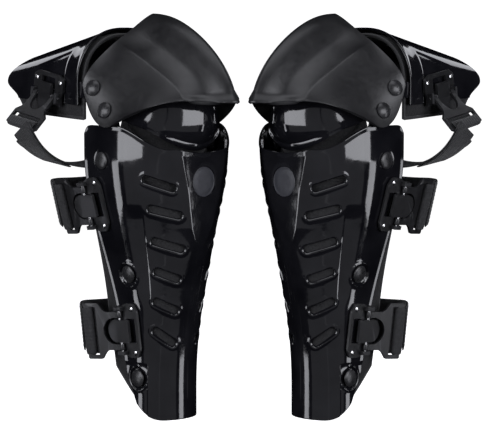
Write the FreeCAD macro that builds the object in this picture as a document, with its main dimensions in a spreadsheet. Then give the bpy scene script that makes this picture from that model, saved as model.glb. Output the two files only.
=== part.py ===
import FreeCAD, Part

import math
import os

import Sketcher
from FreeCAD import Placement, Rotation, Vector

# A pair of hinged knee and shin guards, standing as they are shown on a shelf: shins upright,
# knees bent, toes turned in.  Each guard is designed in a frame of its own: -Y is the front,
# -X is the outer side of the leg with the buckles, +Z is up, and Z = 0 is the foot of the shin
# shell.  The guard for the right leg is built in that frame and placed; the guard for the left
# leg mirrors it in the plane X = 0, where the origin of the pair lies.

OUTER, INNER = -1, 1      # the two sides of a leg, as signs of X
X_AXIS, Y_AXIS, Z_AXIS = Vector(1, 0, 0), Vector(0, 1, 0), Vector(0, 0, 1)

DIMENSIONS = (
    # alias, value, meaning
    ("toe_in", 45.0, "turn of each guard towards the middle, degrees"),
    ("leg_offset", 88.0, "axis of a guard from the middle plane"),
    ("shell_wall", 2.5, "moulded shells of shin and thigh"),
    ("pad_thick", 7.0, "foam liners"),
    ("pad_gap", 0.4, "liner to shell where they lie together"),
    ("link_gap", 5.4, "extra gap at the top of the shin, where the side link passes"),
    ("shin_foot_half", 37.5, "half width of the shin shell at its foot"),
    ("shin_top_half", 73.5, "half width of the shin shell at its top"),
    ("shin_foot_depth", 35.0, "depth in front of the axis at the foot"),
    ("shin_top_depth", 67.5, "depth in front of the axis at the top"),
    ("shin_foot_back", 12.0, "side wall behind the axis at the foot"),
    ("shin_top_back", 38.0, "side wall behind the axis at the top"),
    ("shin_front_top", 283.0, "top edge at the front"),
    ("shin_side_top", 311.0, "top edge at the sides"),
    ("shin_side_foot", 50.0, "bottom edge at the back corners"),
    ("vent_high", 8.6, "height of a vent slot"),
    ("badge_radius", 15.6, "plain round badge"),
    ("badge_thick", 2.0, "plain round badge"),
    ("badge_height", 253.0, "height of the badge's centre"),
    ("stud_radius", 9.0, "domed studs that hold liner and link"),
    ("stud_high", 3.6, "dome of a stud"),
    ("shin_pivot_y", 2.0, "pivot between shin and knee"),
    ("shin_pivot_z", 327.0, "pivot between shin and knee"),
    ("thigh_pivot_y", 21.0, "pivot between knee and thigh"),
    ("thigh_pivot_z", 350.0, "pivot between knee and thigh"),
    ("link_outside", 68.4, "outer face of side links and thigh ears, from the axis"),
    ("link_thick", 2.4, "side links and thigh ears"),
    ("link_end_radius", 8.5, "round end of a link or ear about its pivot"),
    ("link_back", 24.0, "back edge of a side link behind the axis"),
    ("link_crown", 332.0, "top of a side link, over the shin pivot"),
    ("shin_spacer_outside", 72.0, "outer face of the spacer at the shin pivot"),
    ("thigh_spacer_outside", 70.4, "outer face of the spacer at the thigh pivot"),
    ("spacer_radius", 4.5, "pivot spacers"),
    ("pivot_shank", 3.0, "radius of a pivot rivet's shank"),
    ("pivot_bore", 3.05, "radius of the holes that turn on it"),
    ("pivot_head", 8.5, "radius of a pivot rivet's head"),
    ("head_rise", 4.2, "height of its dome"),
    ("pivot_seat", 0.8, "underside of a pivot rivet's head over the curved cap"),
    ("pivot_tail", 59.6, "outer face of a pivot rivet's tail washer"),
    ("tail_thick", 1.2, "tail washer"),
    ("cap_half", 80.0, "half width of the knee cap"),
    ("cap_thick", 3.0, "knee cap"),
    ("cap_reach", 121.5, "knee cap from its centre to its tip"),
    ("cap_rise", 92.0, "knee cap from its centre to its crown"),
    ("cup_half", 65.6, "half width of the inner knee cup"),
    ("cup_thick", 2.3, "inner knee cup"),
    ("knee_pad_half", 55.0, "half width of the knee liner"),
    ("thigh_rim_half", 70.0, "half width of the thigh shell at its rim"),
    ("thigh_end_half", 50.0, "half width of the thigh shell at its far end"),
    ("thigh_rim_rise", 63.0, "crown over the springing line at the rim"),
    ("thigh_end_rise", 33.0, "crown over the springing line at the far end"),
    ("thigh_rim_y", 52.0, "rim of the thigh shell"),
    ("crown_slot_wide", 7.0, "width of a crown slot of the thigh shell"),
    ("crown_slot_long", 26.0, "length of a crown slot"),
    ("crown_slot_out", 27.0, "middle of a crown slot from the mid plane"),
    ("crown_slot_front", 148.0, "front end of a crown slot"),
    ("thigh_end_y", 195.0, "far end of the thigh shell"),
    ("strap_wide", 50.0, "webbing"),
    ("strap_thick", 2.4, "webbing"),
    ("base_thick", 2.5, "buckle base plate"),
    ("base_gap", 1.0, "buckle base off the curved shell"),
    ("rivet_pitch", 23.4, "buckle rivets, each side of the middle"),
    ("rivet_shank", 1.5, "buckle and anchor rivets"),
    ("rivet_bore", 1.6, "holes for them"),
    ("rivet_head", 2.6, "their heads"),
    ("head_high", 1.2, "their heads"),
    ("pin_radius", 1.2, "buckle pin"),
    ("pin_bore", 1.27, "holes on the buckle pin"),
    ("pin_from_rivets", 16.0, "buckle pin beyond the rivets"),
    ("pin_high", 5.6, "buckle pin over the back of the base"),
    ("lug_inside", 21.5, "inner face of the buckle's lugs"),
    ("lug_outside", 25.5, "outer face of the buckle's lugs"),
    ("frame_thick", 3.0, "swinging strap frame"),
    ("arm_inside", 14.3, "round opening of the frame"),
    ("arm_outside", 20.5, "arms of the frame"),
    ("frame_half", 30.0, "flared end of the frame"),
    ("frame_long", 43.5, "frame beyond the pin"),
    ("bar_from_pin", 36.0, "strap bar beyond the pin"),
    ("slot_wide", 7.0, "slot for the webbing"),
    ("knuckle_radius", 2.8, "frame's knuckles round the pin"),
    ("tab_radius", 12.3, "round end of the press tab"),
    ("tab_half", 12.0, "half width of the press tab"),
    ("tab_thick", 3.4, "press tab"),
    ("tab_round_at", 5.7, "centre of the tab's round end beyond the pin"),
    ("tab_tail", 13.5, "square end of the tab behind the pin"),
    ("anchor_wide", 14.0, "clamp plate over the end of a strap"),
    ("anchor_long", 62.0, "clamp plate, across the strap"),
    ("anchor_thick", 2.0, "clamp plate"),
)

VENTS = (
    # height of the centre, angle round from the front, length, rise towards the back (degrees)
    (252.0, 43.0, 38.0, 27.0),
    (222.0, 40.0, 38.0, 27.0),
    (187.0, 38.0, 38.0, 29.0),
    (155.0, 38.0, 31.0, 33.0),
    (122.0, 38.0, 31.0, 37.0),
    (89.0, 38.0, 31.0, 44.0),
)
SHIN_STUDS = ((11.0, 275.0), (-1.0, 155.0), (-2.5, 44.0))    # places as (y, z) on both sides

doc = FreeCAD.newDocument("knee_guards")
sheet = doc.addObject("Spreadsheet::Sheet", "Sizes")
for row, (alias, value, meaning) in enumerate(DIMENSIONS, start=1):
    sheet.set("A%d" % row, alias)
    sheet.set("B%d" % row, repr(value))
    sheet.set("C%d" % row, meaning)
    sheet.setAlias("B%d" % row, alias)
doc.recompute()


class Size:
    """A length together with the sheet formula that gives it."""

    def __init__(self, value, text):
        self.value = value
        self.text = text

    def joined(self, sign, other, value):
        right = other.text if isinstance(other, Size) else repr(float(other))
        return Size(value, "(%s %s %s)" % (self.text, sign, right))

    def __add__(self, other):
        return self.joined("+", other, self.value + float(other))

    def __sub__(self, other):
        return self.joined("-", other, self.value - float(other))

    def __mul__(self, other):
        return self.joined("*", other, self.value * float(other))

    def __neg__(self):
        return Size(-self.value, "(0 - %s)" % self.text)

    def __float__(self):
        return self.value


def size(alias):
    """A cell of the sheet as a Size, for features that are bound to it."""
    return Size(float(sheet.get(alias)), "Sizes.%s" % alias)


def cell(alias):
    """A cell of the sheet as a number, for shapes that a formula makes."""
    return float(sheet.get(alias))


# --------------------------------------------------------------------------- placing and naming

GUARD = Placement(
    Vector(-cell("leg_offset"), 0, 0), Rotation(Z_AXIS, cell("toe_in"))
)
right_parts = []


def keep(part, place=Placement()):
    """Puts a finished sub-part where the right guard stands."""
    part.Placement = GUARD * place
    right_parts.append(part)
    return part


def shape_part(label, shape):
    part = doc.addObject("Part::Feature", label + "_r")
    part.Shape = shape
    return keep(part, shape.Placement)


def group_part(label, members):
    """One node of separate, identical pieces, each already placed on the guard."""
    part = doc.addObject("Part::Compound", label + "_r")
    part.Links = members
    right_parts.append(part)
    return part


def site(origin, outward, along, roll=0.0):
    """A placement whose Z leaves the surface and whose X runs along it."""
    z_dir = Vector(outward).normalize()
    x_dir = (along - z_dir * along.dot(z_dir)).normalize()
    turn = Rotation(x_dir, z_dir.cross(x_dir), z_dir, "ZXY")
    return Placement(origin, turn * Rotation(Z_AXIS, roll))


# --------------------------------------------------------------------------- curved surfaces

def smoothstep(value):
    value = min(1.0, max(0.0, value))
    return value * value * (3 - 2 * value)


def mix(low, high, share):
    return low + (high - low) * share


def surface_through(grid):
    surface = Part.BSplineSurface()
    surface.interpolate(grid)
    return surface


def rims(surface):
    u_low, u_high, v_low, v_high = surface.bounds()
    curves = (surface.uIso(u_low), surface.uIso(u_high), surface.vIso(v_low), surface.vIso(v_high))
    return [curve.toShape() for curve in curves]


def solid_between(outer_grid, inner_grid):
    """The closed solid between two surfaces that have the same number of points."""
    outer = surface_through(outer_grid)
    inner = surface_through(inner_grid)
    faces = [outer.toShape(), inner.toShape()]
    faces += [Part.makeRuledSurface(a, b) for a, b in zip(rims(outer), rims(inner))]
    shell = Part.makeShell(faces)
    shell.sewShape()
    solid = Part.Solid(shell)
    if solid.Volume < 0:
        solid.reverse()
    return solid


def grid_of(point, across, along):
    """Points point(a, t) for a from -1 to 1 and t from 0 to 1."""
    rows = [2 * i / (across - 1) - 1 for i in range(across)]
    return [[point(a, j / (along - 1)) for j in range(along)] for a in rows]


def offset_grid(grid, distance):
    """The grid moved along its own normals, by central differences."""
    moved = []
    for i, row in enumerate(grid):
        before, after = grid[max(i - 1, 0)], grid[min(i + 1, len(grid) - 1)]
        points = []
        for j, here in enumerate(row):
            around = after[j] - before[j]
            upward = row[min(j + 1, len(row) - 1)] - row[max(j - 1, 0)]
            points.append(here + around.cross(upward).normalize() * distance)
        moved.append(points)
    return moved


def round_bar(radius, bottom, top, place=Placement()):
    bar = Part.makeCylinder(radius, top - bottom, Vector(0, 0, bottom))
    return bar.transformed(place.Matrix)


def cross_bar(radius, y, z, side, near, far):
    """A bar along X from |x| = near to |x| = far, on one side of the guard."""
    return Part.makeCylinder(radius, far - near, Vector(side * near, y, z), Vector(side, 0, 0))


def dome(radius, high):
    """A low dome on the plane Z = 0: a slice of a sphere with a short straight edge."""
    rise = high * 0.75
    ball_radius = (radius ** 2 + rise ** 2) / (2 * rise)
    ball = Part.makeSphere(ball_radius, Vector(0, 0, high - ball_radius))
    return Part.makeCylinder(radius, high).common(ball)


def quarter(share, power):
    """Sine and cosine of a quarter turn's share, each raised to a power."""
    angle = share * math.pi / 2
    return math.sin(angle) ** power, max(0.0, math.cos(angle)) ** power


def bezier(a, b, c, t):
    return a * (1 - t) ** 2 + b * 2 * t * (1 - t) + c * t ** 2


# --------------------------------------------------------------------------- shin shell and liner

FRONT_SHARE = 0.72        # share of a half outline that bends round; the rest is a straight wall
TAPER_FOOT = 20.0         # the shin widens from this height up
WIDEN_OVER = 262.0        # and reaches its full width after this much more
DEEPEN_OVER = 230.0       # and its full depth after this
WAIST_HEIGHT = 205.0      # here the outline is nearest to a plain wedge


def shin_half_width(z):
    rise = max(0.0, z - TAPER_FOOT) / WIDEN_OVER
    return mix(cell("shin_foot_half"), cell("shin_top_half"), smoothstep(min(1.0, rise) ** 1.5))


def shin_depth(z):
    rise = max(0.0, z - TAPER_FOOT) / DEEPEN_OVER
    return mix(cell("shin_foot_depth"), cell("shin_top_depth"), smoothstep(min(1.0, rise) ** 1.2))


def shell_back(z):
    return mix(cell("shin_foot_back"), cell("shin_top_back"), smoothstep(z / 260.0))


def liner_back(z):
    return 30.0 + 12.0 * smoothstep(z / 120.0)


def shin_point(across, z, inset, back):
    """A point of the shin outline: a blunt front, then a straight wall on each side."""
    share = min(1.0, abs(across) / FRONT_SHARE)
    power = 2 / (2.15 - 0.35 * math.exp(-((z - WAIST_HEIGHT) / 60.0) ** 2))
    sine, cosine = quarter(share, power)
    x = (shin_half_width(z) - inset) * sine
    y = -(shin_depth(z) - inset) * cosine
    if abs(across) > FRONT_SHARE:
        y = back(z) * (abs(across) - FRONT_SHARE) / (1 - FRONT_SHARE)
    return Vector(math.copysign(x, across), y, z)


def shell_top(across):
    angle = abs(across) * 90.0 / FRONT_SHARE
    lift = 4.0 * smoothstep(angle / 33.0)
    steep = cell("shin_side_top") - cell("shin_front_top") - 4.0
    return cell("shin_front_top") + lift + steep * smoothstep((angle - 33.0) / 50.0)


def foot_rise(across):
    """How far the bottom edge has risen, as a share: a round sweep up to the back corners."""
    return max(0.0, (abs(across) - 0.25) / 0.75) ** 2.4


def shell_foot(across):
    return cell("shin_side_foot") * foot_rise(across)


def shin_surface(inset):
    def point(across, t):
        z = mix(shell_foot(across), shell_top(across), t)
        return shin_point(across, z, inset, shell_back)
    return grid_of(point, 49, 27)


def liner_gap(z):
    return cell("pad_gap") + cell("link_gap") * smoothstep((z - 225.0) / 30.0)


def liner_surface(extra):
    def point(across, t):
        foot = 3.0 + cell("shin_side_foot") * foot_rise(across)
        top = mix(256.0, 302.0, smoothstep((abs(across) - 0.5) / 0.35))
        z = mix(foot, top, t)
        inset = cell("shell_wall") + liner_gap(z) + extra
        return shin_point(across, z, inset, liner_back)
    return grid_of(point, 49, 27)


def shin_site(across, z):
    """A site on the outer surface of the shin shell."""
    step = 0.5
    here = shin_point(across, z, 0, shell_back)
    upward = shin_point(across, z + step, 0, shell_back) - shin_point(across, z - step, 0, shell_back)
    small = 0.004
    around = (
        shin_point(across + small, z, 0, shell_back) - shin_point(across - small, z, 0, shell_back)
    )
    return site(here, around.cross(upward), Y_AXIS)


def wall_site(side, y, z, roll=0.0):
    """A site on a side wall of the shin shell; X of the site points back."""
    step = 0.5
    x = side * shin_half_width(z)
    slope = (shin_half_width(z + step) - shin_half_width(z - step)) / (2 * step)
    return site(Vector(x, y, z), Vector(side, 0, -slope), Y_AXIS, roll)


def vent_cutter(side, z, angle, length, rise):
    """A slot that falls towards the front, square to the shell at its middle."""
    across = side * angle / 90.0 * FRONT_SHARE
    place = shin_site(across, z)
    back_dir = place.Rotation.multVec(X_AXIS)
    lift = Rotation(back_dir.cross(Z_AXIS), rise).multVec(back_dir)
    place = site(place.Base, place.Rotation.multVec(Z_AXIS), lift)
    high = cell("vent_high")
    run = (length - high) / 2
    deep = 16.0               # reach of the cutter to either side of the wall
    ends = [
        round_bar(high / 2, -deep, deep, Placement(Vector(x, 0, 0), Rotation()))
        for x in (-run, run)
    ]
    middle = Part.makeBox(2 * run, high, 2 * deep, Vector(-run, -high / 2, -deep))
    return middle.fuse(ends).transformed(place.Matrix)


def stud_sites():
    return [wall_site(side, y, z) for side in (OUTER, INNER) for y, z in SHIN_STUDS]


shin_buckle_sites = {
    "calf": wall_site(OUTER, 20.0, 229.0, 5.0),
    "ankle": wall_site(OUTER, -3.0, 95.0, 3.0),
}
shin_anchor_sites = {
    "calf": wall_site(INNER, 17.0, 226.0),
    "ankle": wall_site(INNER, 8.0, 92.0),
}


def rivet_places(base_site, pitch):
    return [
        base_site * Placement(Vector(0, side * pitch, 0), Rotation())
        for side in (OUTER, INNER)
    ]


def rivet_holes(places):
    reach = 8.0
    return [round_bar(cell("rivet_bore"), -reach, reach, place) for place in places]


def anchor_pitch():
    return cell("anchor_long") / 2 - 3.0


def rivets_of(sites, anchors):
    """Buckle rivets and anchor rivets of one shell, each a solid of its own."""
    shank, head, high = cell("rivet_shank"), cell("rivet_head"), cell("head_high")
    wall, strap = cell("shell_wall"), cell("strap_thick")
    rivets = []
    for base_site in sites:
        seat = cell("base_gap") + cell("base_thick")
        for place in rivet_places(base_site, cell("rivet_pitch")):
            rivets.append(rivet(shank, head, high, seat, wall, place))
    for anchor_site in anchors:
        seat = cell("base_gap") + strap + 0.3 + cell("anchor_thick")
        for place in rivet_places(anchor_site, anchor_pitch()):
            rivets.append(rivet(shank, head, high, seat, wall, place))
    return rivets


def rivet(shank, head, high, seat, wall, place):
    """A rivet whose head sits at a height over the shell and whose shank goes through it."""
    top = dome(head, high)
    top.translate(Vector(0, 0, seat))
    return top.fuse(round_bar(shank, 0.6 - wall, seat)).transformed(place.Matrix)


shin_shell = solid_between(shin_surface(0.0), shin_surface(cell("shell_wall")))
cutters = [
    vent_cutter(side, z, angle, length, rise)
    for side in (OUTER, INNER)
    for z, angle, length, rise in VENTS
]
stud_bore = cell("pivot_bore")
cutters += [round_bar(stud_bore, -12.0, 12.0, place) for place in stud_sites()]
for place in shin_buckle_sites.values():
    cutters += rivet_holes(rivet_places(place, cell("rivet_pitch")))
for place in shin_anchor_sites.values():
    cutters += rivet_holes(rivet_places(place, anchor_pitch()))

badge_floor = 1.4         # depth of the flat seat under the badge
badge_face = -cell("shin_top_depth")
badge_seat = Part.makeCylinder(
    cell("badge_radius") + 0.3, 12.0, Vector(0, badge_face + badge_floor, cell("badge_height")), -Y_AXIS
)
cutters.append(badge_seat)
shape_part("shin_shell", shin_shell.cut(cutters))
shape_part("shin_pad", solid_between(liner_surface(0.0), liner_surface(cell("pad_thick"))))

badge = doc.addObject("Part::Cylinder", "badge_r")
badge.setExpression("Radius", "Sizes.badge_radius")
badge.setExpression("Height", "Sizes.badge_thick")
keep(badge, Placement(Vector(0, badge_face + badge_floor, cell("badge_height")), Rotation(X_AXIS, 90)))


def shin_stud(place, inner_end):
    """A domed stud whose shank ends at a depth under the shell's outer surface."""
    head = dome(cell("stud_radius"), cell("stud_high"))
    head.translate(Vector(0, 0, 0.1))
    return head.fuse(round_bar(cell("pivot_shank"), inner_end, 0.2)).transformed(place.Matrix)


studs = []
for side in (OUTER, INNER):
    for number, (y, z) in enumerate(SHIN_STUDS):
        through_link = cell("shin_top_half") - cell("link_outside") + cell("link_thick") + 0.1
        depth = -through_link if number == 0 else -cell("shell_wall") - 0.2
        studs.append(shin_stud(wall_site(side, y, z), depth))
shape_part("pad_studs", Part.makeCompound(studs))

# --------------------------------------------------------------------------- side links and pivots

SHIN_PIVOT = (cell("shin_pivot_y"), cell("shin_pivot_z"))
THIGH_PIVOT = (cell("thigh_pivot_y"), cell("thigh_pivot_z"))
PIVOTS = (SHIN_PIVOT, THIGH_PIVOT)


def strip_face(x, start, start_radius, end, end_radius):
    """The face in a plane X = x that wraps two circles of different radii."""
    run = Vector(0, end[0] - start[0], end[1] - start[1])
    lean = math.acos((start_radius - end_radius) / run.Length)
    heading = math.atan2(run.z, run.y)

    def rim(centre, radius, angle):
        return Vector(x, centre[0] + radius * math.cos(angle), centre[1] + radius * math.sin(angle))

    first, last = heading + lean, heading - lean
    back = Part.Arc(
        rim(start, start_radius, first),
        rim(start, start_radius, heading + math.pi),
        rim(start, start_radius, last),
    ).toShape()
    front = Part.Arc(
        rim(end, end_radius, last), rim(end, end_radius, heading), rim(end, end_radius, first)
    ).toShape()
    sides = [
        Part.makeLine(rim(start, start_radius, last), rim(end, end_radius, last)),
        Part.makeLine(rim(end, end_radius, first), rim(start, start_radius, first)),
    ]
    return Part.Face(Part.Wire([back, sides[0], front, sides[1]]))


def side_plate(side, start, start_radius, end, end_radius):
    """A flat link plate in the layer that side links and thigh ears share."""
    face = strip_face(side * cell("link_outside"), start, start_radius, end, end_radius)
    return face.extrude(Vector(-side * cell("link_thick"), 0, 0))


def pivot_holes(places, radius, near, far):
    return [cross_bar(radius, y, z, side, near, far) for side in (OUTER, INNER) for y, z in places]


LINK_FRONT = 0.62         # where a side link's front edge lies, as a share of the half outline


def link_surface(side, inset):
    """A face of a side link, which lies inside the shin shell and wraps forward from the pivot."""
    def point(along, t):
        share = (along + 1) / 2
        front_top, back_top = cell("link_crown") - 30.0, cell("link_crown") - 50.0
        top = mix(front_top, cell("link_crown"), smoothstep(share / 0.28))
        top = mix(top, back_top, smoothstep((share - 0.68) / 0.32))
        bottom = mix(284.0, 262.0, smoothstep(share / 0.5))
        across = side * mix(LINK_FRONT, 1.0, share)
        return shin_point(across, mix(bottom, top, t), inset, lambda z: cell("link_back"))
    return grid_of(point, 33, 13)


def side_link(side):
    outer_inset = cell("shin_top_half") - cell("link_outside")
    faces = [link_surface(side, outer_inset + deep) for deep in (0.0, cell("link_thick"))]
    stud_hole = round_bar(cell("pivot_bore") + 0.1, -12.0, 12.0, wall_site(side, *SHIN_STUDS[0]))
    pivot_hole = cross_bar(cell("pivot_bore"), *SHIN_PIVOT, side, 60.0, 80.0)
    return solid_between(*faces).cut([stud_hole, pivot_hole])


shape_part("side_links", Part.makeCompound([side_link(side) for side in (OUTER, INNER)]))


# --------------------------------------------------------------------------- knee cap, cup and liner

CAP_CENTRE = Vector(0, 12.0, 335.0)
CAP_PROFILE = 2 / 1.65    # power of the cap's middle line from tip to crown
CORNER = 12.0             # how sharply the cap's nose flanks turn into its side lobes


def wedge_bend(share):
    """Width and reach of the cap's outline, both as shares, from its nose to its ear."""
    reach = 1 - share ** 1.15
    flank = 1.22 * (1 - reach) ** 0.85
    lobe = 1 - 0.667 * reach ** 2
    width = (flank ** -CORNER + lobe ** -CORNER) ** (-1 / CORNER) if share else 0.0
    return width, reach


def round_bend(share):
    """The same for the cup and the liner, whose outline is evenly round."""
    reach = 1 - share ** 1.65
    return (1 - reach ** 2.2) ** 0.6, reach


def visor_point(across, half, middle, ear, arch, bend):
    """A point of a visor: its middle line pulled back to its ear as it turns round the knee."""
    width, reach = bend(abs(across))
    point = ear + (middle - ear) * reach
    lift = arch * math.sin(math.pi * reach)
    return Vector(math.copysign(half * width, across), point.y, point.z + lift)


def cap_point(across, t):
    sine, cosine = quarter(t, CAP_PROFILE)
    middle = CAP_CENTRE + Vector(0, -cell("cap_reach") * cosine, cell("cap_rise") * sine)
    ear = bezier(Vector(0, -9, 311), Vector(0, 20, 303), Vector(0, 34, 353), t)
    arch = 11.0 * (1 - smoothstep(t / 0.6))
    return visor_point(across, cell("cap_half"), middle, ear, arch, wedge_bend)


CUP_LINE = ((-52, 286), (-66, 305), (-68, 322), (-62, 338), (-50, 350))
KNEE_PAD_LINE = ((-42, 290), (-53, 313), (-46, 335), (-30, 360), (-4, 386), (30, 394))


def line_through(places):
    curve = Part.BSplineCurve()
    curve.interpolate([Vector(0, y, z) for y, z in places])
    first, last = curve.FirstParameter, curve.LastParameter
    return lambda t: curve.value(mix(first, last, t))


cup_middle = line_through(CUP_LINE)
pad_middle = line_through(KNEE_PAD_LINE)


def cup_point(across, t):
    ear = bezier(Vector(0, -9, 317), Vector(0, 42, 325), Vector(0, 27, 360), t)
    arch = 9.0 * (1 - smoothstep(t / 0.5))
    return visor_point(across, cell("cup_half"), cup_middle(t), ear, arch, round_bend)


def knee_pad_point(across, t):
    ear = bezier(Vector(0, -6, 318), Vector(0, 10, 345), Vector(0, 26, 368), t)
    return visor_point(across, cell("knee_pad_half"), pad_middle(t), ear, 0.0, round_bend)


def visor_solid(point, thickness):
    outer = grid_of(point, 41, 21)
    return solid_between(outer, offset_grid(outer, -thickness))


knee_bores = pivot_holes(PIVOTS, cell("pivot_bore"), 55.0, 90.0)
shape_part("knee_cap", visor_solid(cap_point, cell("cap_thick")).cut(knee_bores))
shape_part("knee_cup", visor_solid(cup_point, cell("cup_thick")).cut(knee_bores))
shape_part("knee_pad", visor_solid(knee_pad_point, cell("pad_thick")))

PIVOT_SPACERS = (cell("shin_spacer_outside"), cell("thigh_spacer_outside"))


def cap_site(side, y, z):
    """A site on the cap's outer surface over a pivot, found by sampling its lobe."""
    steps = 160
    samples = [
        (side * i / steps, j / steps) for i in range(steps // 2, steps + 1) for j in range(steps + 1)
    ]

    def miss(sample):
        point = cap_point(*sample)
        return math.hypot(point.y - y, point.z - z)

    across, t = min(samples, key=miss)
    step = 1 / steps
    around = cap_point(across, t) - cap_point(across - side * step, t)
    upward = cap_point(across, t + step) - cap_point(across, t - step)
    outward = around.cross(upward)
    return site(cap_point(across, t), outward * math.copysign(1, outward.x * side), Y_AXIS)


def pivot_rivet(side, y, z):
    """Domed head on the cap, shank through every layer, washer inside the cup."""
    seat = cap_site(side, y, z)
    tail = cell("pivot_tail")
    head = dome(cell("pivot_head"), cell("head_rise"))
    head.translate(Vector(0, 0, cell("pivot_seat")))
    head = head.transformed(seat.Matrix)
    end = abs(seat.Base.x) + cell("pivot_seat") + 1.0
    shank = cross_bar(cell("pivot_shank"), y, z, side, tail - cell("tail_thick"), end)
    washer = cross_bar(6.0, y, z, side, tail - cell("tail_thick"), tail)
    return head.fuse([shank, washer])


def pivot_spacer(side, y, z, far):
    near = cell("link_outside") + 0.2
    ring = cross_bar(cell("spacer_radius"), y, z, side, near, far)
    return ring.cut(cross_bar(cell("pivot_bore"), y, z, side, near - 1, far + 1))


shape_part("pivot_rivets", Part.makeCompound([
    pivot_rivet(side, y, z) for side in (OUTER, INNER) for y, z in PIVOTS
]))
shape_part("pivot_spacers", Part.makeCompound([
    pivot_spacer(side, y, z, far)
    for side in (OUTER, INNER)
    for (y, z), far in zip(PIVOTS, PIVOT_SPACERS)
]))

# --------------------------------------------------------------------------- thigh shell and liner

ARCH_SHARE = 0.8          # share of a half arch that is curved; the rest is a straight skirt
ARCH_POWER = 2 / 2.3


def thigh_share(y):
    return (y - cell("thigh_rim_y")) / (cell("thigh_end_y") - cell("thigh_rim_y"))


def thigh_half_width(y):
    return mix(cell("thigh_rim_half"), cell("thigh_end_half"), thigh_share(y))


def thigh_point(across, y, inset, hem):
    """A point of the arch over the thigh at a distance y behind the leg's axis."""
    share = thigh_share(y)
    springing = mix(350.0, 352.0, share)
    rise = mix(cell("thigh_rim_rise"), cell("thigh_end_rise"), share) - inset
    sine, cosine = quarter(min(1.0, abs(across) / ARCH_SHARE), ARCH_POWER)
    x = (thigh_half_width(y) - inset) * sine
    z = springing + rise * cosine
    if abs(across) > ARCH_SHARE:
        z = mix(springing, hem, (abs(across) - ARCH_SHARE) / (1 - ARCH_SHARE))
    return Vector(math.copysign(x, across), y, z)


def thigh_surface(inset, rim_back, end_short, hem_rim, hem_end, rim_tuck=0.0):
    """Rim and far edge step in by rim_back and end_short; the hem slopes between two heights.

    The rim is tucked in by rim_tuck more, which fades out over 25 mm.
    """
    def point(across, t):
        first = cell("thigh_rim_y") + rim_back + 4.0 * (1 - abs(across)) ** 2
        last = cell("thigh_end_y") - end_short - 8.0 * abs(across) ** 3
        y = mix(first, last, t)
        tuck = rim_tuck * (1 - smoothstep((y - cell("thigh_rim_y")) / 25.0))
        return thigh_point(across, y, inset + tuck, mix(hem_rim, hem_end, t))
    return grid_of(point, 41, 21)


def thigh_site(side, y, z, roll):
    """A site on a side wall of the thigh shell; X of the site points down."""
    x = side * thigh_half_width(y)
    slope = (thigh_half_width(y + 1) - thigh_half_width(y - 1)) / 2
    return site(Vector(x, y, z), Vector(side, -slope, 0), -Z_AXIS, roll)


thigh_buckle_site = thigh_site(OUTER, 104.0, 357.0, -8.0)
thigh_anchor_site = thigh_site(INNER, 104.0, 347.0, 0.0)

thigh_shell = solid_between(
    thigh_surface(0.0, 0.0, 0.0, 331.0, 336.0),
    thigh_surface(cell("shell_wall"), 0.0, 0.0, 331.0, 336.0),
)
ear_root = (64.0, 346.0)
ears = [
    side_plate(side, THIGH_PIVOT, cell("link_end_radius"), ear_root, cell("link_end_radius"))
    for side in (OUTER, INNER)
]
thigh_cutters = pivot_holes((THIGH_PIVOT,), cell("pivot_bore"), 60.0, 80.0)
thigh_cutters += rivet_holes(rivet_places(thigh_buckle_site, cell("rivet_pitch")))
thigh_cutters += rivet_holes(rivet_places(thigh_anchor_site, anchor_pitch()))
slot_wide = cell("crown_slot_wide")
for side in (OUTER, INNER):
    slot_corner = Vector(side * cell("crown_slot_out") - slot_wide / 2, cell("crown_slot_front"), 365.0)
    thigh_cutters.append(Part.makeBox(slot_wide, cell("crown_slot_long"), 40.0, slot_corner))
shape_part("thigh_shell", thigh_shell.fuse(ears).cut(thigh_cutters))

liner_inset = cell("shell_wall") + cell("pad_gap")
shape_part(
    "thigh_pad",
    solid_between(
        thigh_surface(liner_inset, -1.0, 5.0, 317.0, 322.0, 1.4),
        thigh_surface(liner_inset + cell("pad_thick"), -1.0, 5.0, 317.0, 322.0, 1.4),
    ),
)

# --------------------------------------------------------------------------- sketches for the buckles

def new_body(label):
    return doc.addObject("PartDesign::Body", label + "_r")


def new_sketch(body, name, plane):
    sketch = body.newObject("Sketcher::SketchObject", name)
    origin_plane = next(item for item in body.Origin.OriginFeatures if item.Role == plane)
    sketch.AttachmentSupport = [(origin_plane, "")]
    sketch.MapMode = "FlatFace"
    return sketch


def bind(sketch, constraint, value):
    index = sketch.addConstraint(constraint)
    if isinstance(value, Size):
        sketch.setExpression("Constraints[%d]" % index, value.text)


def fix_point(sketch, edge, end, x, y):
    bind(sketch, Sketcher.Constraint("DistanceX", -1, 1, edge, end, float(x)), x)
    bind(sketch, Sketcher.Constraint("DistanceY", -1, 1, edge, end, float(y)), y)


def add_outline(sketch, points):
    """A closed outline of straight edges, each corner held by its two distances."""
    first = sketch.GeometryCount
    corners = [Vector(float(x), float(y), 0) for x, y in points]
    for here, after in zip(corners, corners[1:] + corners[:1]):
        sketch.addGeometry(Part.LineSegment(here, after), False)
    for i, (x, y) in enumerate(points):
        after = first + (i + 1) % len(points)
        sketch.addConstraint(Sketcher.Constraint("Coincident", first + i, 2, after, 1))
        fix_point(sketch, first + i, 1, x, y)


def add_circle(sketch, x, y, radius):
    circle = Part.Circle(Vector(float(x), float(y), 0), Z_AXIS, float(radius))
    index = sketch.addGeometry(circle, False)
    bind(sketch, Sketcher.Constraint("Radius", index, float(radius)), radius)
    fix_point(sketch, index, 3, x, y)


def add_pad(body, name, sketch, length, both_ways=False):
    pad = body.newObject("PartDesign::Pad", name)
    pad.Profile = sketch
    pad.setExpression("Length", length.text)
    pad.Midplane = both_ways
    return pad


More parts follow.
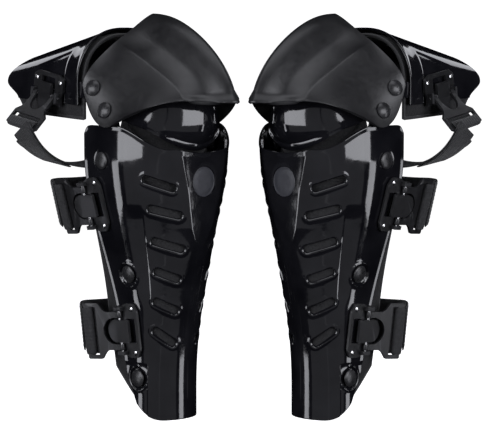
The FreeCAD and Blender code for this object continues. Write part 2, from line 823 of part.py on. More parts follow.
def add_pocket(body, name, sketch):
    """A cut through the whole piece, both ways from the sketch."""
    pocket = body.newObject("PartDesign::Pocket", name)
    pocket.Profile = sketch
    pocket.Length = 200.0
    pocket.Midplane = True
    return pocket


def mirrored(points):
    """Both halves of an outline that is symmetric about its X axis."""
    return points + [(x, -y) for x, y in reversed(points)]


def box_outline(x_low, x_high, half):
    return mirrored([(x_low, half), (x_high, half)])


def add_fillet(body, name, feature, corners, radius):
    """Rounds the upright edges that stand at the given corners."""
    doc.recompute()
    chosen = []
    for number, edge in enumerate(feature.Shape.Edges, start=1):
        ends = [vertex.Point for vertex in edge.Vertexes]
        if len(ends) < 2 or abs(ends[0].z - ends[1].z) < 1.0:
            continue
        spot = Vector(ends[0].x, ends[0].y, 0)
        upright = (ends[0] - ends[1]).cross(Z_AXIS).Length < 1e-6
        if upright and any((spot - Vector(float(x), float(y), 0)).Length < 0.01 for x, y in corners):
            chosen.append("Edge%d" % number)
    fillet = body.newObject("PartDesign::Fillet", name)
    fillet.Base = (feature, chosen)
    fillet.Radius = radius
    return fillet


# --------------------------------------------------------------------------- quick-release buckles
#
# Every buckle is drawn flat: X runs from its rivets to its strap, Y across the strap, Z outward.
# The base lies on Z = 0; frame and tab are drawn about the pin.

BASE_BACK, BASE_EDGE = -8.0, 29.0
WINDOW_HALF = 13.0


def make_base(name, place):
    body = new_body(name + "_buckle_base")
    outline = mirrored([
        (BASE_BACK, 21.0), (-3.0, BASE_EDGE), (9.0, BASE_EDGE),
        (17.0, size("lug_outside")), (25.0, size("lug_outside")),
    ])
    sketch = new_sketch(body, name + "_base_plate_sketch", "XY_Plane")
    add_outline(sketch, outline)
    plate = add_pad(body, name + "_base_plate", sketch, size("base_thick"))
    corners = mirrored([(BASE_BACK, 21.0), (-3.0, BASE_EDGE), (9.0, BASE_EDGE)])
    add_fillet(body, name + "_base_corners", plate, corners, 5.0)
    sketch = new_sketch(body, name + "_lug_sketch", "XY_Plane")
    for side in (OUTER, INNER):
        inside, outside = size("lug_inside") * side, size("lug_outside") * side
        add_outline(sketch, [(11.0, inside), (21.5, inside), (21.5, outside), (11.0, outside)])
    add_pad(body, name + "_lugs", sketch, size("pin_high") + size("knuckle_radius"))
    sketch = new_sketch(body, name + "_opening_sketch", "XY_Plane")
    add_outline(sketch, box_outline(-3.5, 8.5, WINDOW_HALF))
    for side in (OUTER, INNER):
        add_circle(sketch, 0.0, size("rivet_pitch") * side, size("rivet_bore"))
    add_pocket(body, name + "_openings", sketch)
    sketch = new_sketch(body, name + "_bore_sketch", "XZ_Plane")
    add_circle(sketch, size("pin_from_rivets"), size("pin_high"), size("pin_bore"))
    add_pocket(body, name + "_pin_bore", sketch)
    keep(body, place)


def make_frame(name, place):
    body = new_body(name + "_buckle_frame")
    arm, flare = size("arm_outside"), size("frame_half")
    neck, waist = 19.0, 26.0
    outline = mirrored([(0.0, arm), (neck, arm), (waist, flare), (size("frame_long"), flare)])
    sketch = new_sketch(body, name + "_frame_plate_sketch", "XY_Plane")
    add_outline(sketch, outline)
    plate = add_pad(body, name + "_frame_plate", sketch, size("frame_thick"), True)
    add_fillet(body, name + "_frame_necks", plate, mirrored([(neck, arm)]), 9.0)
    tip = body.Tip
    add_fillet(body, name + "_frame_corners", tip, mirrored([(waist, flare), outline[3]]), 2.0)
    sketch = new_sketch(body, name + "_knuckle_sketch", "XZ_Plane")
    add_circle(sketch, 0.0, 0.0, size("knuckle_radius"))
    add_pad(body, name + "_knuckles", sketch, arm * 2, True)
    sketch = new_sketch(body, name + "_opening_sketch", "XY_Plane")
    add_circle(sketch, size("tab_round_at") + 1.0, 0.0, size("arm_inside"))
    slot_end = size("bar_from_pin")
    add_outline(sketch, box_outline(slot_end - size("slot_wide"), slot_end, 26.0))
    add_pocket(body, name + "_openings", sketch)
    sketch = new_sketch(body, name + "_mouth_sketch", "XY_Plane")
    add_outline(sketch, box_outline(-6.0, size("tab_round_at") + 1.0, size("arm_inside")))
    add_pocket(body, name + "_mouth", sketch)
    sketch = new_sketch(body, name + "_bore_sketch", "XZ_Plane")
    add_circle(sketch, 0.0, 0.0, size("pin_bore"))
    add_pocket(body, name + "_pin_bore", sketch)
    keep(body, place)


def make_tab(name, place):
    body = new_body(name + "_buckle_tab")
    sketch = new_sketch(body, name + "_tab_square_sketch", "XY_Plane")
    add_outline(sketch, box_outline(-size("tab_tail"), size("tab_round_at"), size("tab_half")))
    square = add_pad(body, name + "_tab_square", sketch, size("tab_thick"), True)
    corners = mirrored([(-size("tab_tail"), size("tab_half"))])
    add_fillet(body, name + "_tab_corners", square, corners, 1.5)
    sketch = new_sketch(body, name + "_tab_round_sketch", "XY_Plane")
    add_circle(sketch, size("tab_round_at"), 0.0, size("tab_radius"))
    add_pad(body, name + "_tab_round", sketch, size("tab_thick"), True)
    sketch = new_sketch(body, name + "_bore_sketch", "XZ_Plane")
    add_circle(sketch, 0.0, 0.0, size("pin_bore"))
    add_pocket(body, name + "_pin_bore", sketch)
    keep(body, place)


def pin_site(base_site):
    """The buckle's own frame moved from the rivets to the middle of its pin."""
    lift = cell("base_gap") + cell("pin_high")
    return base_site * Placement(Vector(cell("pin_from_rivets"), 0, lift), Rotation())


def frame_site(base_site, flare):
    """The frame's place when it stands away from the shell by an angle."""
    return pin_site(base_site) * Placement(Vector(), Rotation(Y_AXIS, -flare))


def make_pin(name, base_site):
    pin = doc.addObject("Part::Cylinder", name)
    pin.setExpression("Radius", "Sizes.pin_radius")
    pin.setExpression("Height", "Sizes.lug_outside * 2 - 1")
    start = Vector(0, -cell("lug_outside") + 0.5, 0)
    pin.Placement = GUARD * pin_site(base_site) * Placement(start, Rotation(X_AXIS, -90))
    return pin


BUCKLES = {
    # name: site of the base, angle of the frame away from the shell
    "calf": (shin_buckle_sites["calf"], -2.0),
    "ankle": (shin_buckle_sites["ankle"], 15.0),
    "thigh": (thigh_buckle_site, 40.0),
}
for name, (base_site, flare) in BUCKLES.items():
    make_base(name, base_site * Placement(Vector(0, 0, cell("base_gap")), Rotation()))
    make_frame(name, frame_site(base_site, flare))
    make_tab(name, pin_site(base_site))

shin_pins = [make_pin("%s_pin" % name, BUCKLES[name][0]) for name in ("calf", "ankle")]
group_part("shin_buckle_pins", shin_pins)
right_parts.append(make_pin("thigh_buckle_pin_r", thigh_buckle_site))

shape_part("shin_rivets", Part.makeCompound(
    rivets_of(shin_buckle_sites.values(), shin_anchor_sites.values())
))
shape_part("thigh_rivets", Part.makeCompound(rivets_of([thigh_buckle_site], [thigh_anchor_site])))

# --------------------------------------------------------------------------- straps and anchors


def make_anchor(anchor_site):
    """A clamp plate across the strap's end, on the inner side of the leg."""
    wide, long = cell("anchor_wide"), cell("anchor_long")
    plate = Part.makeBox(wide, long, cell("anchor_thick"), Vector(-wide / 2, -long / 2, 0))
    corners = [e for e in plate.Edges if abs(e.tangentAt(e.FirstParameter).z) > 0.99]
    plate = plate.makeFillet(3.0, corners)
    holes = [
        round_bar(cell("rivet_bore"), -5.0, 5.0, place)
        for place in rivet_places(Placement(), anchor_pitch())
    ]
    lift = cell("base_gap") + cell("strap_thick") + 0.3
    place = anchor_site * Placement(Vector(0, 0, lift), Rotation())
    return plate.cut(holes).transformed(place.Matrix)


shape_part("strap_anchors", Part.makeCompound([
    make_anchor(place) for place in shin_anchor_sites.values()
]))
shape_part("thigh_anchor", make_anchor(thigh_anchor_site))


def band_solid(path, first_across, last_across):
    """Webbing along a smooth path; its width turns from one direction to the other."""
    curve = Part.BSplineCurve()
    curve.interpolate(path)
    first, last = curve.FirstParameter, curve.LastParameter
    half, thick = cell("strap_wide") / 2, cell("strap_thick") / 2
    stations, lanes = 61, 3
    outer, inner = [], []
    for i in range(stations):
        share = i / (stations - 1)
        parameter = mix(first, last, share)
        turned = smoothstep(share / 0.75)
        across = (first_across * (1 - turned) + last_across * turned).normalize()
        normal = curve.tangent(parameter)[0].cross(across).normalize() * thick
        row = [curve.value(parameter) + across * mix(-half, half, j / (lanes - 1)) for j in range(lanes)]
        outer.append([point + normal for point in row])
        inner.append([point - normal for point in row])
    return solid_between(outer, inner)


def bar_loop():
    """The turn of webbing round the strap bar, drawn about the buckle's pin."""
    bar_wide = cell("frame_long") - cell("bar_from_pin")
    middle = cell("bar_from_pin") + bar_wide / 2
    inner_long, inner_high = bar_wide / 2 + 0.3, cell("frame_thick") / 2 + 0.3
    loop = []
    for extra in (cell("strap_thick"), 0.0):
        reach, high = inner_long + extra, inner_high + extra
        block = Part.makeBox(
            2 * reach, cell("strap_wide"), 2 * high, Vector(middle - reach, -cell("strap_wide") / 2, -high)
        )
        rounding = high - 0.4 if extra else 0.5
        long_edges = [e for e in block.Edges if abs(e.tangentAt(e.FirstParameter).y) > 0.9]
        loop.append(block.makeFillet(rounding, long_edges))
    return loop[0].cut(loop[1])


def make_strap(name, base_site, flare, anchor_site, between):
    """Loop on the bar, run behind the leg, end under the anchor plate."""
    place = frame_site(base_site, flare)
    loop = bar_loop().transformed(place.Matrix)
    thick = cell("strap_thick")
    bar_end = cell("frame_long") + 0.3 + thick / 2
    start = place.multVec(Vector(bar_end, 0, -1.5))
    surface = cell("base_gap") + thick / 2
    finish = [anchor_site.multVec(Vector(x, 0, surface)) for x in (20.0, 8.0, -6.0)]
    first_across = place.Rotation.multVec(Y_AXIS)
    last_across = anchor_site.Rotation.multVec(Y_AXIS)
    if first_across.dot(last_across) < 0:
        first_across = -first_across
    band = band_solid([start] + between + finish, first_across, last_across)
    shape_part(name + "_strap", loop.fuse(band))


STRAP_RUNS = {
    "calf": ((-56, 103, 226), (-26, 117, 225), (10, 116, 225), (43, 98, 225), (62, 70, 226)),
    "ankle": ((-46, 72, 94), (-20, 88, 93), (10, 86, 92), (32, 68, 92)),
    "thigh": ((-88, 108, 290), (-55, 106, 270), (-10, 104, 264), (35, 104, 276), (60, 104, 301)),
}
STRAP_ENDS = {"thigh": thigh_anchor_site, **shin_anchor_sites}
for name, run in STRAP_RUNS.items():
    base_site, flare = BUCKLES[name]
    make_strap(name, base_site, flare, STRAP_ENDS[name], [Vector(*point) for point in run])

# --------------------------------------------------------------------------- left guard and export

exports = []
for part in right_parts:
    exports.append(part)
    label = part.Name[:-2] + "_l"
    twin = doc.addObject("Part::Mirroring", label)
    twin.Source = part
    twin.Normal = X_AXIS
    exports.append(twin)

doc.recompute()
for item in doc.Objects:
    if "Invalid" in item.State or "Error" in item.State:
        raise RuntimeError("%s failed: %s" % (item.Name, item.State))
for item in exports:
    item.Label = item.Name
    if item.Shape.isNull() or not item.Shape.isValid() or not item.Shape.Solids:
        raise RuntimeError("%s has no valid solid" % item.Name)

os.makedirs("parts", exist_ok=True)
for item in exports:
    item.Shape.exportStep("parts/%s.step" % item.Label)
    print("%-24s %2d solids %10.1f mm3" % (item.Label, len(item.Shape.Solids), item.Shape.Volume))
print(len(exports), "sub-parts")
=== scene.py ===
"""Looks for a pair of knee guards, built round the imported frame.

Each guard is drawn in millimetres in a frame of its own: -Y is the front, -X the outer side of
the leg with the buckles, +Z is up and Z = 0 is the foot of the shin shell.  GUARD places the
guard for the right leg in the row frame, and its twin mirrors it in the plane X = 0.
"""

import math

import bpy
import numpy as np
from mathutils import Matrix, Vector


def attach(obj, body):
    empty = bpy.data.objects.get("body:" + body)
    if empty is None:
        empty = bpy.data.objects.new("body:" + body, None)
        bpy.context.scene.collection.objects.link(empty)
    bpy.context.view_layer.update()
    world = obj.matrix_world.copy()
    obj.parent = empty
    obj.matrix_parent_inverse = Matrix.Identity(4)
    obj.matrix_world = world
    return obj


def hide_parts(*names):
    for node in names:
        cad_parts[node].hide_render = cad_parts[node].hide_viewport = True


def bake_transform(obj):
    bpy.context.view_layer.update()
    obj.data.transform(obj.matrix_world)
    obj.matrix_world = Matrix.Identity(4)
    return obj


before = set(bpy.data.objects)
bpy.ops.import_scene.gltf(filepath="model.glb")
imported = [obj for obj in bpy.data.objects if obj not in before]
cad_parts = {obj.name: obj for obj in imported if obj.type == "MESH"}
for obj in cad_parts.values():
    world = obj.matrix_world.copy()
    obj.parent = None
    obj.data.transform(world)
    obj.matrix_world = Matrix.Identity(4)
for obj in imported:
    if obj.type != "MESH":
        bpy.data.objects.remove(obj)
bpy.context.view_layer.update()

MM = 0.001
LEG_OFFSET, TOE_IN = 88.0, math.radians(45.0)
OUTER, INNER = -1, 1
GUARD = (
    Matrix.Translation((-LEG_OFFSET * MM, 0, 0))
    @ Matrix.Rotation(TOE_IN, 4, "Z")
    @ Matrix.Scale(MM, 4)
)
MIRROR = Matrix.Scale(-1, 4, (1, 0, 0))
scene = bpy.context.scene

# --------------------------------------------------------------------------- camera, floor, lights

TARGET = Vector((0, 0, 0.2133))
CAMERA_AWAY, CAMERA_RISE = 2.2, math.radians(5.0)
LENS, SENSOR = 152.9, 36.0


def direction(azimuth, elevation):
    """The way from the object towards a place: azimuth 0 is the camera's side, 90 is +X."""
    a, e = math.radians(azimuth), math.radians(elevation)
    return Vector((math.sin(a) * math.cos(e), -math.cos(a) * math.cos(e), math.sin(e)))


def aim(obj, place, target):
    obj.location = place
    obj.rotation_euler = (target - place).to_track_quat("-Z", "Y").to_euler()
    scene.collection.objects.link(obj)


def make_camera():
    data = bpy.data.cameras.new("camera")
    data.lens, data.sensor_width = LENS, SENSOR
    camera = bpy.data.objects.new("camera", data)
    away = direction(0, math.degrees(CAMERA_RISE)) * CAMERA_AWAY
    aim(camera, TARGET + away, TARGET)
    scene.camera = camera


def make_softbox(name, azimuth, elevation, away, wide, high, power):
    data = bpy.data.lights.new(name, "AREA")
    data.shape, data.size, data.size_y = "RECTANGLE", wide, high
    data.energy = power
    data.color = (0.93, 0.94, 1.0)
    light = bpy.data.objects.new(name, data)
    aim(light, TARGET + direction(azimuth, elevation) * away, TARGET)
    return light


def make_lights():
    for side in (-1, 1):
        make_softbox("front_softbox", 48 * side, 10, 1.6, 1.5, 0.95, 20)
        make_softbox("low_fill", 30 * side, -6, 2.6, 3.0, 2.4, 5)
        make_softbox("side_strip", 78 * side, -14, 1.5, 0.36, 0.5, 2.2)
        make_softbox("back_strip", 138 * side, 20, 1.6, 0.4, 1.2, 2.5)
    make_softbox("top_softbox", 0, 72, 1.5, 1.6, 0.9, 7)
    world = bpy.data.worlds.new("studio")
    world.use_nodes = True
    world.node_tree.nodes["Background"].inputs["Color"].default_value = (1, 1, 1, 1)
    world.cycles_visibility.glossy = False
    world.cycles_visibility.diffuse = False
    scene.world = world


def make_floor():
    """A pale sweep: a flat floor that rises behind the object in one curve."""
    turn, depth, height, half = 0.8, 3.0, 3.6, 6.0
    profile = [(-5.0, 0.0), (depth, 0.0)]
    for i in range(1, 17):
        angle = i / 16 * math.pi / 2
        profile.append((depth + turn * math.sin(angle), turn * (1 - math.cos(angle))))
    profile.append((depth + turn, height))
    points = [(x, y, z) for y, z in profile for x in (-half, half)]
    faces = [(2 * i, 2 * i + 1, 2 * i + 3, 2 * i + 2) for i in range(len(profile) - 1)]
    mesh = bpy.data.meshes.new("floor")
    mesh.from_pydata(points, [], faces)
    mesh.shade_smooth()
    floor = bpy.data.objects.new("floor", mesh)
    material = bpy.data.materials.new("pale_floor")
    material.use_nodes = True
    shader = material.node_tree.nodes["Principled BSDF"]
    shader.inputs["Base Color"].default_value = (0.82, 0.82, 0.83, 1)
    shader.inputs["Roughness"].default_value = 0.9
    shader.inputs["Emission Color"].default_value = (1, 1, 1, 1)
    shader.inputs["Emission Strength"].default_value = 1.0
    mesh.materials.append(material)
    floor.visible_glossy = False
    floor.visible_diffuse = False
    scene.collection.objects.link(floor)


scene.view_settings.view_transform = "Standard"
make_camera()
make_lights()
make_floor()

# --------------------------------------------------------------------------- materials


class Finish:
    """A material under construction: a principled shader and the nodes that feed it."""

    def __init__(self, name, **sockets):
        self.material = bpy.data.materials.new(name)
        self.material.use_nodes = True
        self.tree = self.material.node_tree
        self.shader = self.tree.nodes["Principled BSDF"]
        for socket, value in sockets.items():
            self.shader.inputs[socket.replace("_", " ")].default_value = value
        self.place = self.tree.nodes.new("ShaderNodeTexCoord")

    def node(self, kind, inputs=(), **settings):
        node = self.tree.nodes.new(kind)
        for key, value in settings.items():
            setattr(node, key, value)
        for socket, value in dict(inputs).items():
            if isinstance(value, bpy.types.NodeSocket):
                self.tree.links.new(value, node.inputs[socket])
            else:
                node.inputs[socket].default_value = value
        return node

    def noise(self, grain, detail=3.0, stretch=(1, 1, 1)):
        """Noise whose grains are about that many millimetres across."""
        spread = self.node(
            "ShaderNodeMapping", {"Vector": self.place.outputs["Object"], "Scale": stretch}
        )
        node = self.node(
            "ShaderNodeTexNoise",
            {"Vector": spread.outputs["Vector"], "Scale": 1 / (grain * MM), "Detail": detail},
        )
        return node.outputs["Fac"]

    def cells(self, grain):
        node = self.node(
            "ShaderNodeTexVoronoi",
            {"Vector": self.place.outputs["Object"], "Scale": 1 / (grain * MM)},
        )
        return node.outputs["Distance"]

    def waves(self, coordinates, pitch, axis, sharpness=0.0):
        """Threads that repeat every pitch, counted in the coordinates' own unit."""
        node = self.node(
            "ShaderNodeTexWave",
            {"Vector": coordinates, "Scale": 0.314 / pitch, "Distortion": sharpness},
            bands_direction=axis,
        )
        return node.outputs["Fac"]

    def math(self, operation, first, second=0.5):
        node = self.node("ShaderNodeMath", operation=operation)
        for slot, value in enumerate((first, second)):
            if isinstance(value, bpy.types.NodeSocket):
                self.tree.links.new(value, node.inputs[slot])
            else:
                node.inputs[slot].default_value = value
        return node.outputs[0]

    def spread(self, value, low, high, start=0.35, end=0.65):
        node = self.node(
            "ShaderNodeMapRange",
            {"Value": value, "From Min": start, "From Max": end, "To Min": low, "To Max": high},
        )
        return node.outputs["Result"]

    def colour(self, value, dark, light, start=0.35, end=0.65):
        node = self.node("ShaderNodeValToRGB", {"Fac": value})
        for element, place, tone in zip(node.color_ramp.elements, (start, end), (dark, light)):
            element.position = place
            element.color = (*tone, 1)
        self.tree.links.new(node.outputs["Color"], self.shader.inputs["Base Color"])

    def rough(self, value):
        self.tree.links.new(value, self.shader.inputs["Roughness"])

    def bump(self, *layers):
        """Each layer is (height, depth in millimetres)."""
        normal = None
        for height, depth in layers:
            inputs = {"Height": height, "Distance": depth * MM, "Strength": 1.0}
            if normal is not None:
                inputs["Normal"] = normal
            normal = self.node("ShaderNodeBump", inputs).outputs["Normal"]
        self.tree.links.new(normal, self.shader.inputs["Normal"])

    def edge_wear(self):
        """How much a place stands out as an edge."""
        point = self.node("ShaderNodeNewGeometry").outputs["Pointiness"]
        return self.spread(point, 0.0, 1.0, 0.52, 0.62)


def gloss_plastic():
    finish = Finish("gloss_plastic", Specular_IOR_Level=0.55, Coat_Weight=0.35, Coat_Roughness=0.03)
    dust = finish.noise(34.0, 5.0)
    finish.colour(dust, (0.0045, 0.0045, 0.006), (0.0085, 0.0085, 0.0105))
    finish.rough(finish.spread(finish.noise(9.0, 6.0), 0.07, 0.11))
    finish.bump((finish.noise(11.0, 2.0), 0.10), (finish.noise(2.2, 2.0), 0.006))
    return finish.material


def satin_plastic():
    finish = Finish("satin_plastic", Specular_IOR_Level=0.6)
    finish.colour(finish.noise(30.0, 4.0), (0.008, 0.008, 0.009), (0.014, 0.014, 0.015))
    finish.rough(finish.spread(finish.noise(6.0, 5.0), 0.31, 0.38))
    finish.bump((finish.cells(0.55), 0.035), (finish.noise(0.35, 2.0), 0.02))
    return finish.material


def buckle_plastic():
    finish = Finish("buckle_plastic", Specular_IOR_Level=0.5)
    finish.colour(finish.edge_wear(), (0.008, 0.008, 0.009), (0.04, 0.04, 0.043), 0.0, 1.0)
    finish.rough(finish.spread(finish.noise(4.0, 5.0), 0.30, 0.42))
    finish.bump((finish.cells(0.45), 0.02), (finish.noise(1.4, 3.0), 0.02))
    return finish.material


def stud_plastic():
    finish = Finish("stud_plastic", Specular_IOR_Level=0.5)
    finish.colour(finish.noise(8.0, 4.0), (0.014, 0.014, 0.015), (0.026, 0.026, 0.028))
    finish.rough(finish.spread(finish.noise(3.0, 5.0), 0.24, 0.36))
    finish.bump((finish.cells(0.6), 0.015), (finish.noise(2.5, 3.0), 0.02))
    return finish.material


def badge_plastic():
    finish = Finish("badge_plastic", Specular_IOR_Level=0.45)
    finish.colour(finish.noise(5.0, 4.0), (0.020, 0.021, 0.027), (0.030, 0.031, 0.039))
    finish.rough(finish.spread(finish.noise(2.0, 4.0), 0.42, 0.52))
    finish.bump((finish.cells(0.4), 0.02), (finish.noise(1.5, 3.0), 0.01))
    return finish.material


def liner_fabric():
    """A knitted mesh over foam."""
    finish = Finish("liner_fabric", Sheen_Weight=0.12, Sheen_Roughness=0.5)
    finish.colour(finish.cells(1.5), (0.011, 0.011, 0.012), (0.004, 0.004, 0.005), 0.2, 0.6)
    finish.rough(finish.spread(finish.noise(3.0), 0.78, 0.92))
    finish.bump((finish.cells(1.5), 0.3), (finish.noise(0.4, 2.0), 0.08))
    return finish.material


def binding_tape():
    finish = Finish("binding_tape", Sheen_Weight=0.3, Sheen_Roughness=0.45)
    finish.colour(finish.noise(0.8, 3.0), (0.010, 0.010, 0.011), (0.022, 0.022, 0.024))
    finish.rough(finish.spread(finish.noise(2.0), 0.62, 0.8))
    finish.bump((finish.waves(finish.place.outputs["Object"], 0.9 * MM, "Z"), 0.1),
                (finish.noise(0.5, 2.0), 0.06))
    return finish.material


def webbing():
    """Flat woven tape: fine threads across it, its ribs are in the mesh."""
    finish = Finish("webbing", Sheen_Weight=0.2, Sheen_Roughness=0.4)
    along = finish.waves(finish.place.outputs["UV"], 1.1, "Y")
    across = finish.waves(finish.place.outputs["UV"], 0.9, "X")
    weave = finish.math("MULTIPLY", along, across)
    finish.colour(finish.math("ADD", weave, finish.noise(2.0, 4.0)),
                  (0.005, 0.005, 0.006), (0.020, 0.020, 0.022), 0.3, 1.1)
    finish.rough(finish.spread(finish.noise(3.0), 0.66, 0.84))
    finish.bump((weave, 0.22), (finish.noise(0.35, 2.0), 0.06))
    return finish.material


def bright_steel():
    finish = Finish("bright_steel", Metallic=1.0)
    finish.colour(finish.noise(2.5, 5.0), (0.55, 0.55, 0.56), (0.74, 0.74, 0.75))
    finish.rough(finish.spread(finish.noise(1.2, 5.0), 0.16, 0.32))
    finish.bump((finish.noise(0.8, 3.0), 0.01), (finish.noise(0.2, 2.0), 0.004))
    return finish.material


GLOSS, SATIN, BUCKLE, STUD = gloss_plastic(), satin_plastic(), buckle_plastic(), stud_plastic()
BADGE, LINER, BINDING = badge_plastic(), liner_fabric(), binding_tape()
WEBBING, STEEL = webbing(), bright_steel()

# --------------------------------------------------------------------------- mesh helpers


def smoothstep(value):
    value = np.clip(value, 0.0, 1.0)
    return value * value * (3 - 2 * value)


def mix(low, high, share):
    return low + (high - low) * share


def bell(distance, width):
    return np.exp(-((distance / width) ** 2))


def unit(vectors):
    return vectors / np.linalg.norm(vectors, axis=-1, keepdims=True)


def axes_of(outward, along, roll=0.0):
    """Rotation columns whose Z is outward and whose X runs along, turned by roll degrees."""
    z_dir = unit(np.array(outward, float))
    x_dir = np.array(along, float)
    x_dir = unit(x_dir - z_dir * x_dir.dot(z_dir))
    y_dir = np.cross(z_dir, x_dir)
    c, s = math.cos(math.radians(roll)), math.sin(math.radians(roll))
    return np.stack([x_dir * c + y_dir * s, y_dir * c - x_dir * s, z_dir], axis=1)


class Site:
    """A place on a guard: an origin and axes with Z leaving the surface."""

    def __init__(self, origin, axes):
        self.origin, self.axes = np.array(origin, float), axes

    def out(self, points):
        return np.asarray(points, float) @ self.axes.T + self.origin

    def into(self, points):
        return (points - self.origin) @ self.axes

    def moved(self, x, y, z):
        return Site(self.out([x, y, z]), self.axes)

    def flared(self, degrees):
        """Turned about its own Y, so that X leaves the surface by that angle."""
        c, s = math.cos(math.radians(degrees)), math.sin(math.radians(degrees))
        return Site(self.origin, self.axes @ np.array([[c, 0, -s], [0, 1, 0], [s, 0, c]]))


def grid_normals(grid):
    return unit(np.cross(np.gradient(grid, axis=0), np.gradient(grid, axis=1)))


def quads(rows, lanes, start=0, around=False):
    index = np.arange(rows * lanes).reshape(rows, lanes) + start
    if around:
        index = np.vstack([index, index[:1]])
    return np.stack(
        [index[:-1, :-1], index[1:, :-1], index[1:, 1:], index[:-1, 1:]], axis=-1
    ).reshape(-1, 4)


def mesh_object(name, points, faces):
    mesh = bpy.data.meshes.new(name)
    mesh.from_pydata(np.asarray(points, float).reshape(-1, 3).tolist(), [], [list(f) for f in faces])
    mesh.update()
    obj = bpy.data.objects.new(name, mesh)
    scene.collection.objects.link(obj)
    return obj


def grid_object(name, grid, around=False):
    return mesh_object(name, grid, quads(*grid.shape[:2], around=around))


def bake_modifiers(obj):
    evaluated = obj.evaluated_get(bpy.context.evaluated_depsgraph_get())
    mesh = bpy.data.meshes.new_from_object(evaluated)
    obj.modifiers.clear()
    obj.data = mesh


def add_bevel(obj, width, segments=2, angle=50.0):
    bevel = obj.modifiers.new("bevel", "BEVEL")
    bevel.width, bevel.segments = width, segments
    bevel.limit_method, bevel.angle_limit = "ANGLE", math.radians(angle)


def thicken(obj, wall, rim, segments=3):
    """Turns a sheet into a wall that lies behind it, with rounded edges."""
    solid = obj.modifiers.new("wall", "SOLIDIFY")
    solid.thickness, solid.offset, solid.use_even_offset = wall, -1.0, True
    add_bevel(obj, rim, segments)
    bake_modifiers(obj)
    return obj


def cut(obj, cutters):
    """Takes the cutters away from the object, and removes them."""
    for cutter in cutters:
        boolean = obj.modifiers.new("cut", "BOOLEAN")
        boolean.object, boolean.solver, boolean.operation = cutter, "EXACT", "DIFFERENCE"
    bake_modifiers(obj)
    for cutter in cutters:
        bpy.data.objects.remove(cutter)


def join(name, objects):
    """One object from several, each keeping its materials."""
    points, faces, materials, slots, coordinates = [], [], [], [], []
    start = 0
    for obj in objects:
        mesh = obj.data
        local = [m for m in mesh.materials] or [None]
        for material in local:
            if material not in materials:
                materials.append(material)
        points += [v.co[:] for v in mesh.vertices]
        for polygon in mesh.polygons:
            faces.append([start + i for i in polygon.vertices])
            slots.append(materials.index(local[polygon.material_index]))
        layer = mesh.uv_layers.active
        for polygon in mesh.polygons:
            for loop in polygon.loop_indices:
                coordinates.append(layer.data[loop].uv[:] if layer else (0.0, 0.0))
        start += len(mesh.vertices)
        bpy.data.objects.remove(obj)
    whole = mesh_object(name, points, faces)
    for material in materials:
        whole.data.materials.append(material)
    whole.data.polygons.foreach_set("material_index", slots)
    layer = whole.data.uv_layers.new(name="UVMap")
    layer.data.foreach_set("uv", np.array(coordinates, np.float32).ravel())
    return whole


def paint(obj, material):
    obj.data.materials.clear()
    obj.data.materials.append(material)
    return obj


def ring_profile(name, profile, site, segments=48):
    """A piece turned about Z of a site; profile is (radius, height) from its top to its foot."""
    angles = np.linspace(0, 2 * math.pi, segments, endpoint=False)
    profile = np.array(profile, float)
    radius, height = profile[:, 0], profile[:, 1]
    grid = np.stack(
        [
            np.outer(np.cos(angles), radius),
            np.outer(np.sin(angles), radius),
            np.broadcast_to(height, (segments, len(height))),
        ],
        axis=-1,
    )
    grid = grid[:, ::-1]
    obj = mesh_object(name, site.out(grid), quads(segments, len(height), around=True))
    weld = obj.modifiers.new("weld", "WELD")
    weld.merge_threshold = 0.001
    bake_modifiers(obj)
    return obj


def finish_pair(obj, body, replaced=(), blend=None, sharp=35.0):
    """Puts the right-hand piece in its place, makes its twin, and rides both on their bodies; given a
    blend, it only bakes both in place and rides neither.
    """
    obj.data.shade_smooth()
    obj.data.set_sharp_from_angle(angle=math.radians(sharp))
    obj.data.transform(GUARD)
    twin = bpy.data.objects.new(obj.name[:-2] + "_l", obj.data.copy())
    scene.collection.objects.link(twin)
    twin.data.transform(MIRROR)
    twin.data.flip_normals()
    for piece, side, flip in ((obj, "_r", 1), (twin, "_l", -1)):
        if blend:
            first, last, start, end = blend
            start, end = (GUARD @ Vector(place) for place in (start, end))
            start.x, end.x = start.x * flip, end.x * flip
            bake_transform(piece)
            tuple(start)
            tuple(end)
        else:
            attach(piece, body + side)
        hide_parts(*[node + side for node in replaced])


# --------------------------------------------------------------------------- shin shell

SHIN_WALL = 2.5
FRONT_SHARE = 0.72
SHIN_STUDS = ((11.0, 275.0), (-1.0, 155.0), (-2.5, 44.0))
VENTS = (
    # height of the centre, angle round from the front, length, rise towards the back (degrees)
    (252.0, 43.0, 38.0, 27.0),
    (222.0, 40.0, 38.0, 27.0),
    (187.0, 38.0, 38.0, 29.0),
    (155.0, 38.0, 31.0, 33.0),
    (122.0, 38.0, 31.0, 37.0),
    (89.0, 38.0, 31.0, 44.0),
)
VENT_HIGH = 8.6
BADGE_HEIGHT, BADGE_RADIUS = 253.0, 15.6
PANEL_HEIGHTS = (178.0, 204.0, 226.0, 250.0, 278.0, 310.0)
PANEL_HALVES = (0.0, 14.0, 20.0, 25.0, 31.5, 36.0)
PANEL_COLUMNS = 0.12      # share of the columns on each side that the flat front panel takes
SHIN_TOP_DEPTH = 67.5
STUD_RADIUS, STUD_HIGH = 9.0, 3.0
STUD_LEDGE = STUD_RADIUS + 1.6        # radius of the flat floor round a recessed stud


def shin_half_width(z):
    rise = np.clip((z - 20.0) / 262.0, 0, 1)
    return mix(37.5, 73.5, smoothstep(rise ** 1.5))


def shin_depth(z):
    rise = np.clip((z - 20.0) / 230.0, 0, 1)
    return mix(35.0, SHIN_TOP_DEPTH, smoothstep(rise ** 1.2))


def shell_back(z):
    return mix(12.0, 38.0, smoothstep(z / 260.0))


def liner_back(z):
    return 30.0 + 12.0 * smoothstep(z / 120.0)


def outline_power(z):
    return 2 / (2.15 - 0.35 * bell(z - 205.0, 60.0))


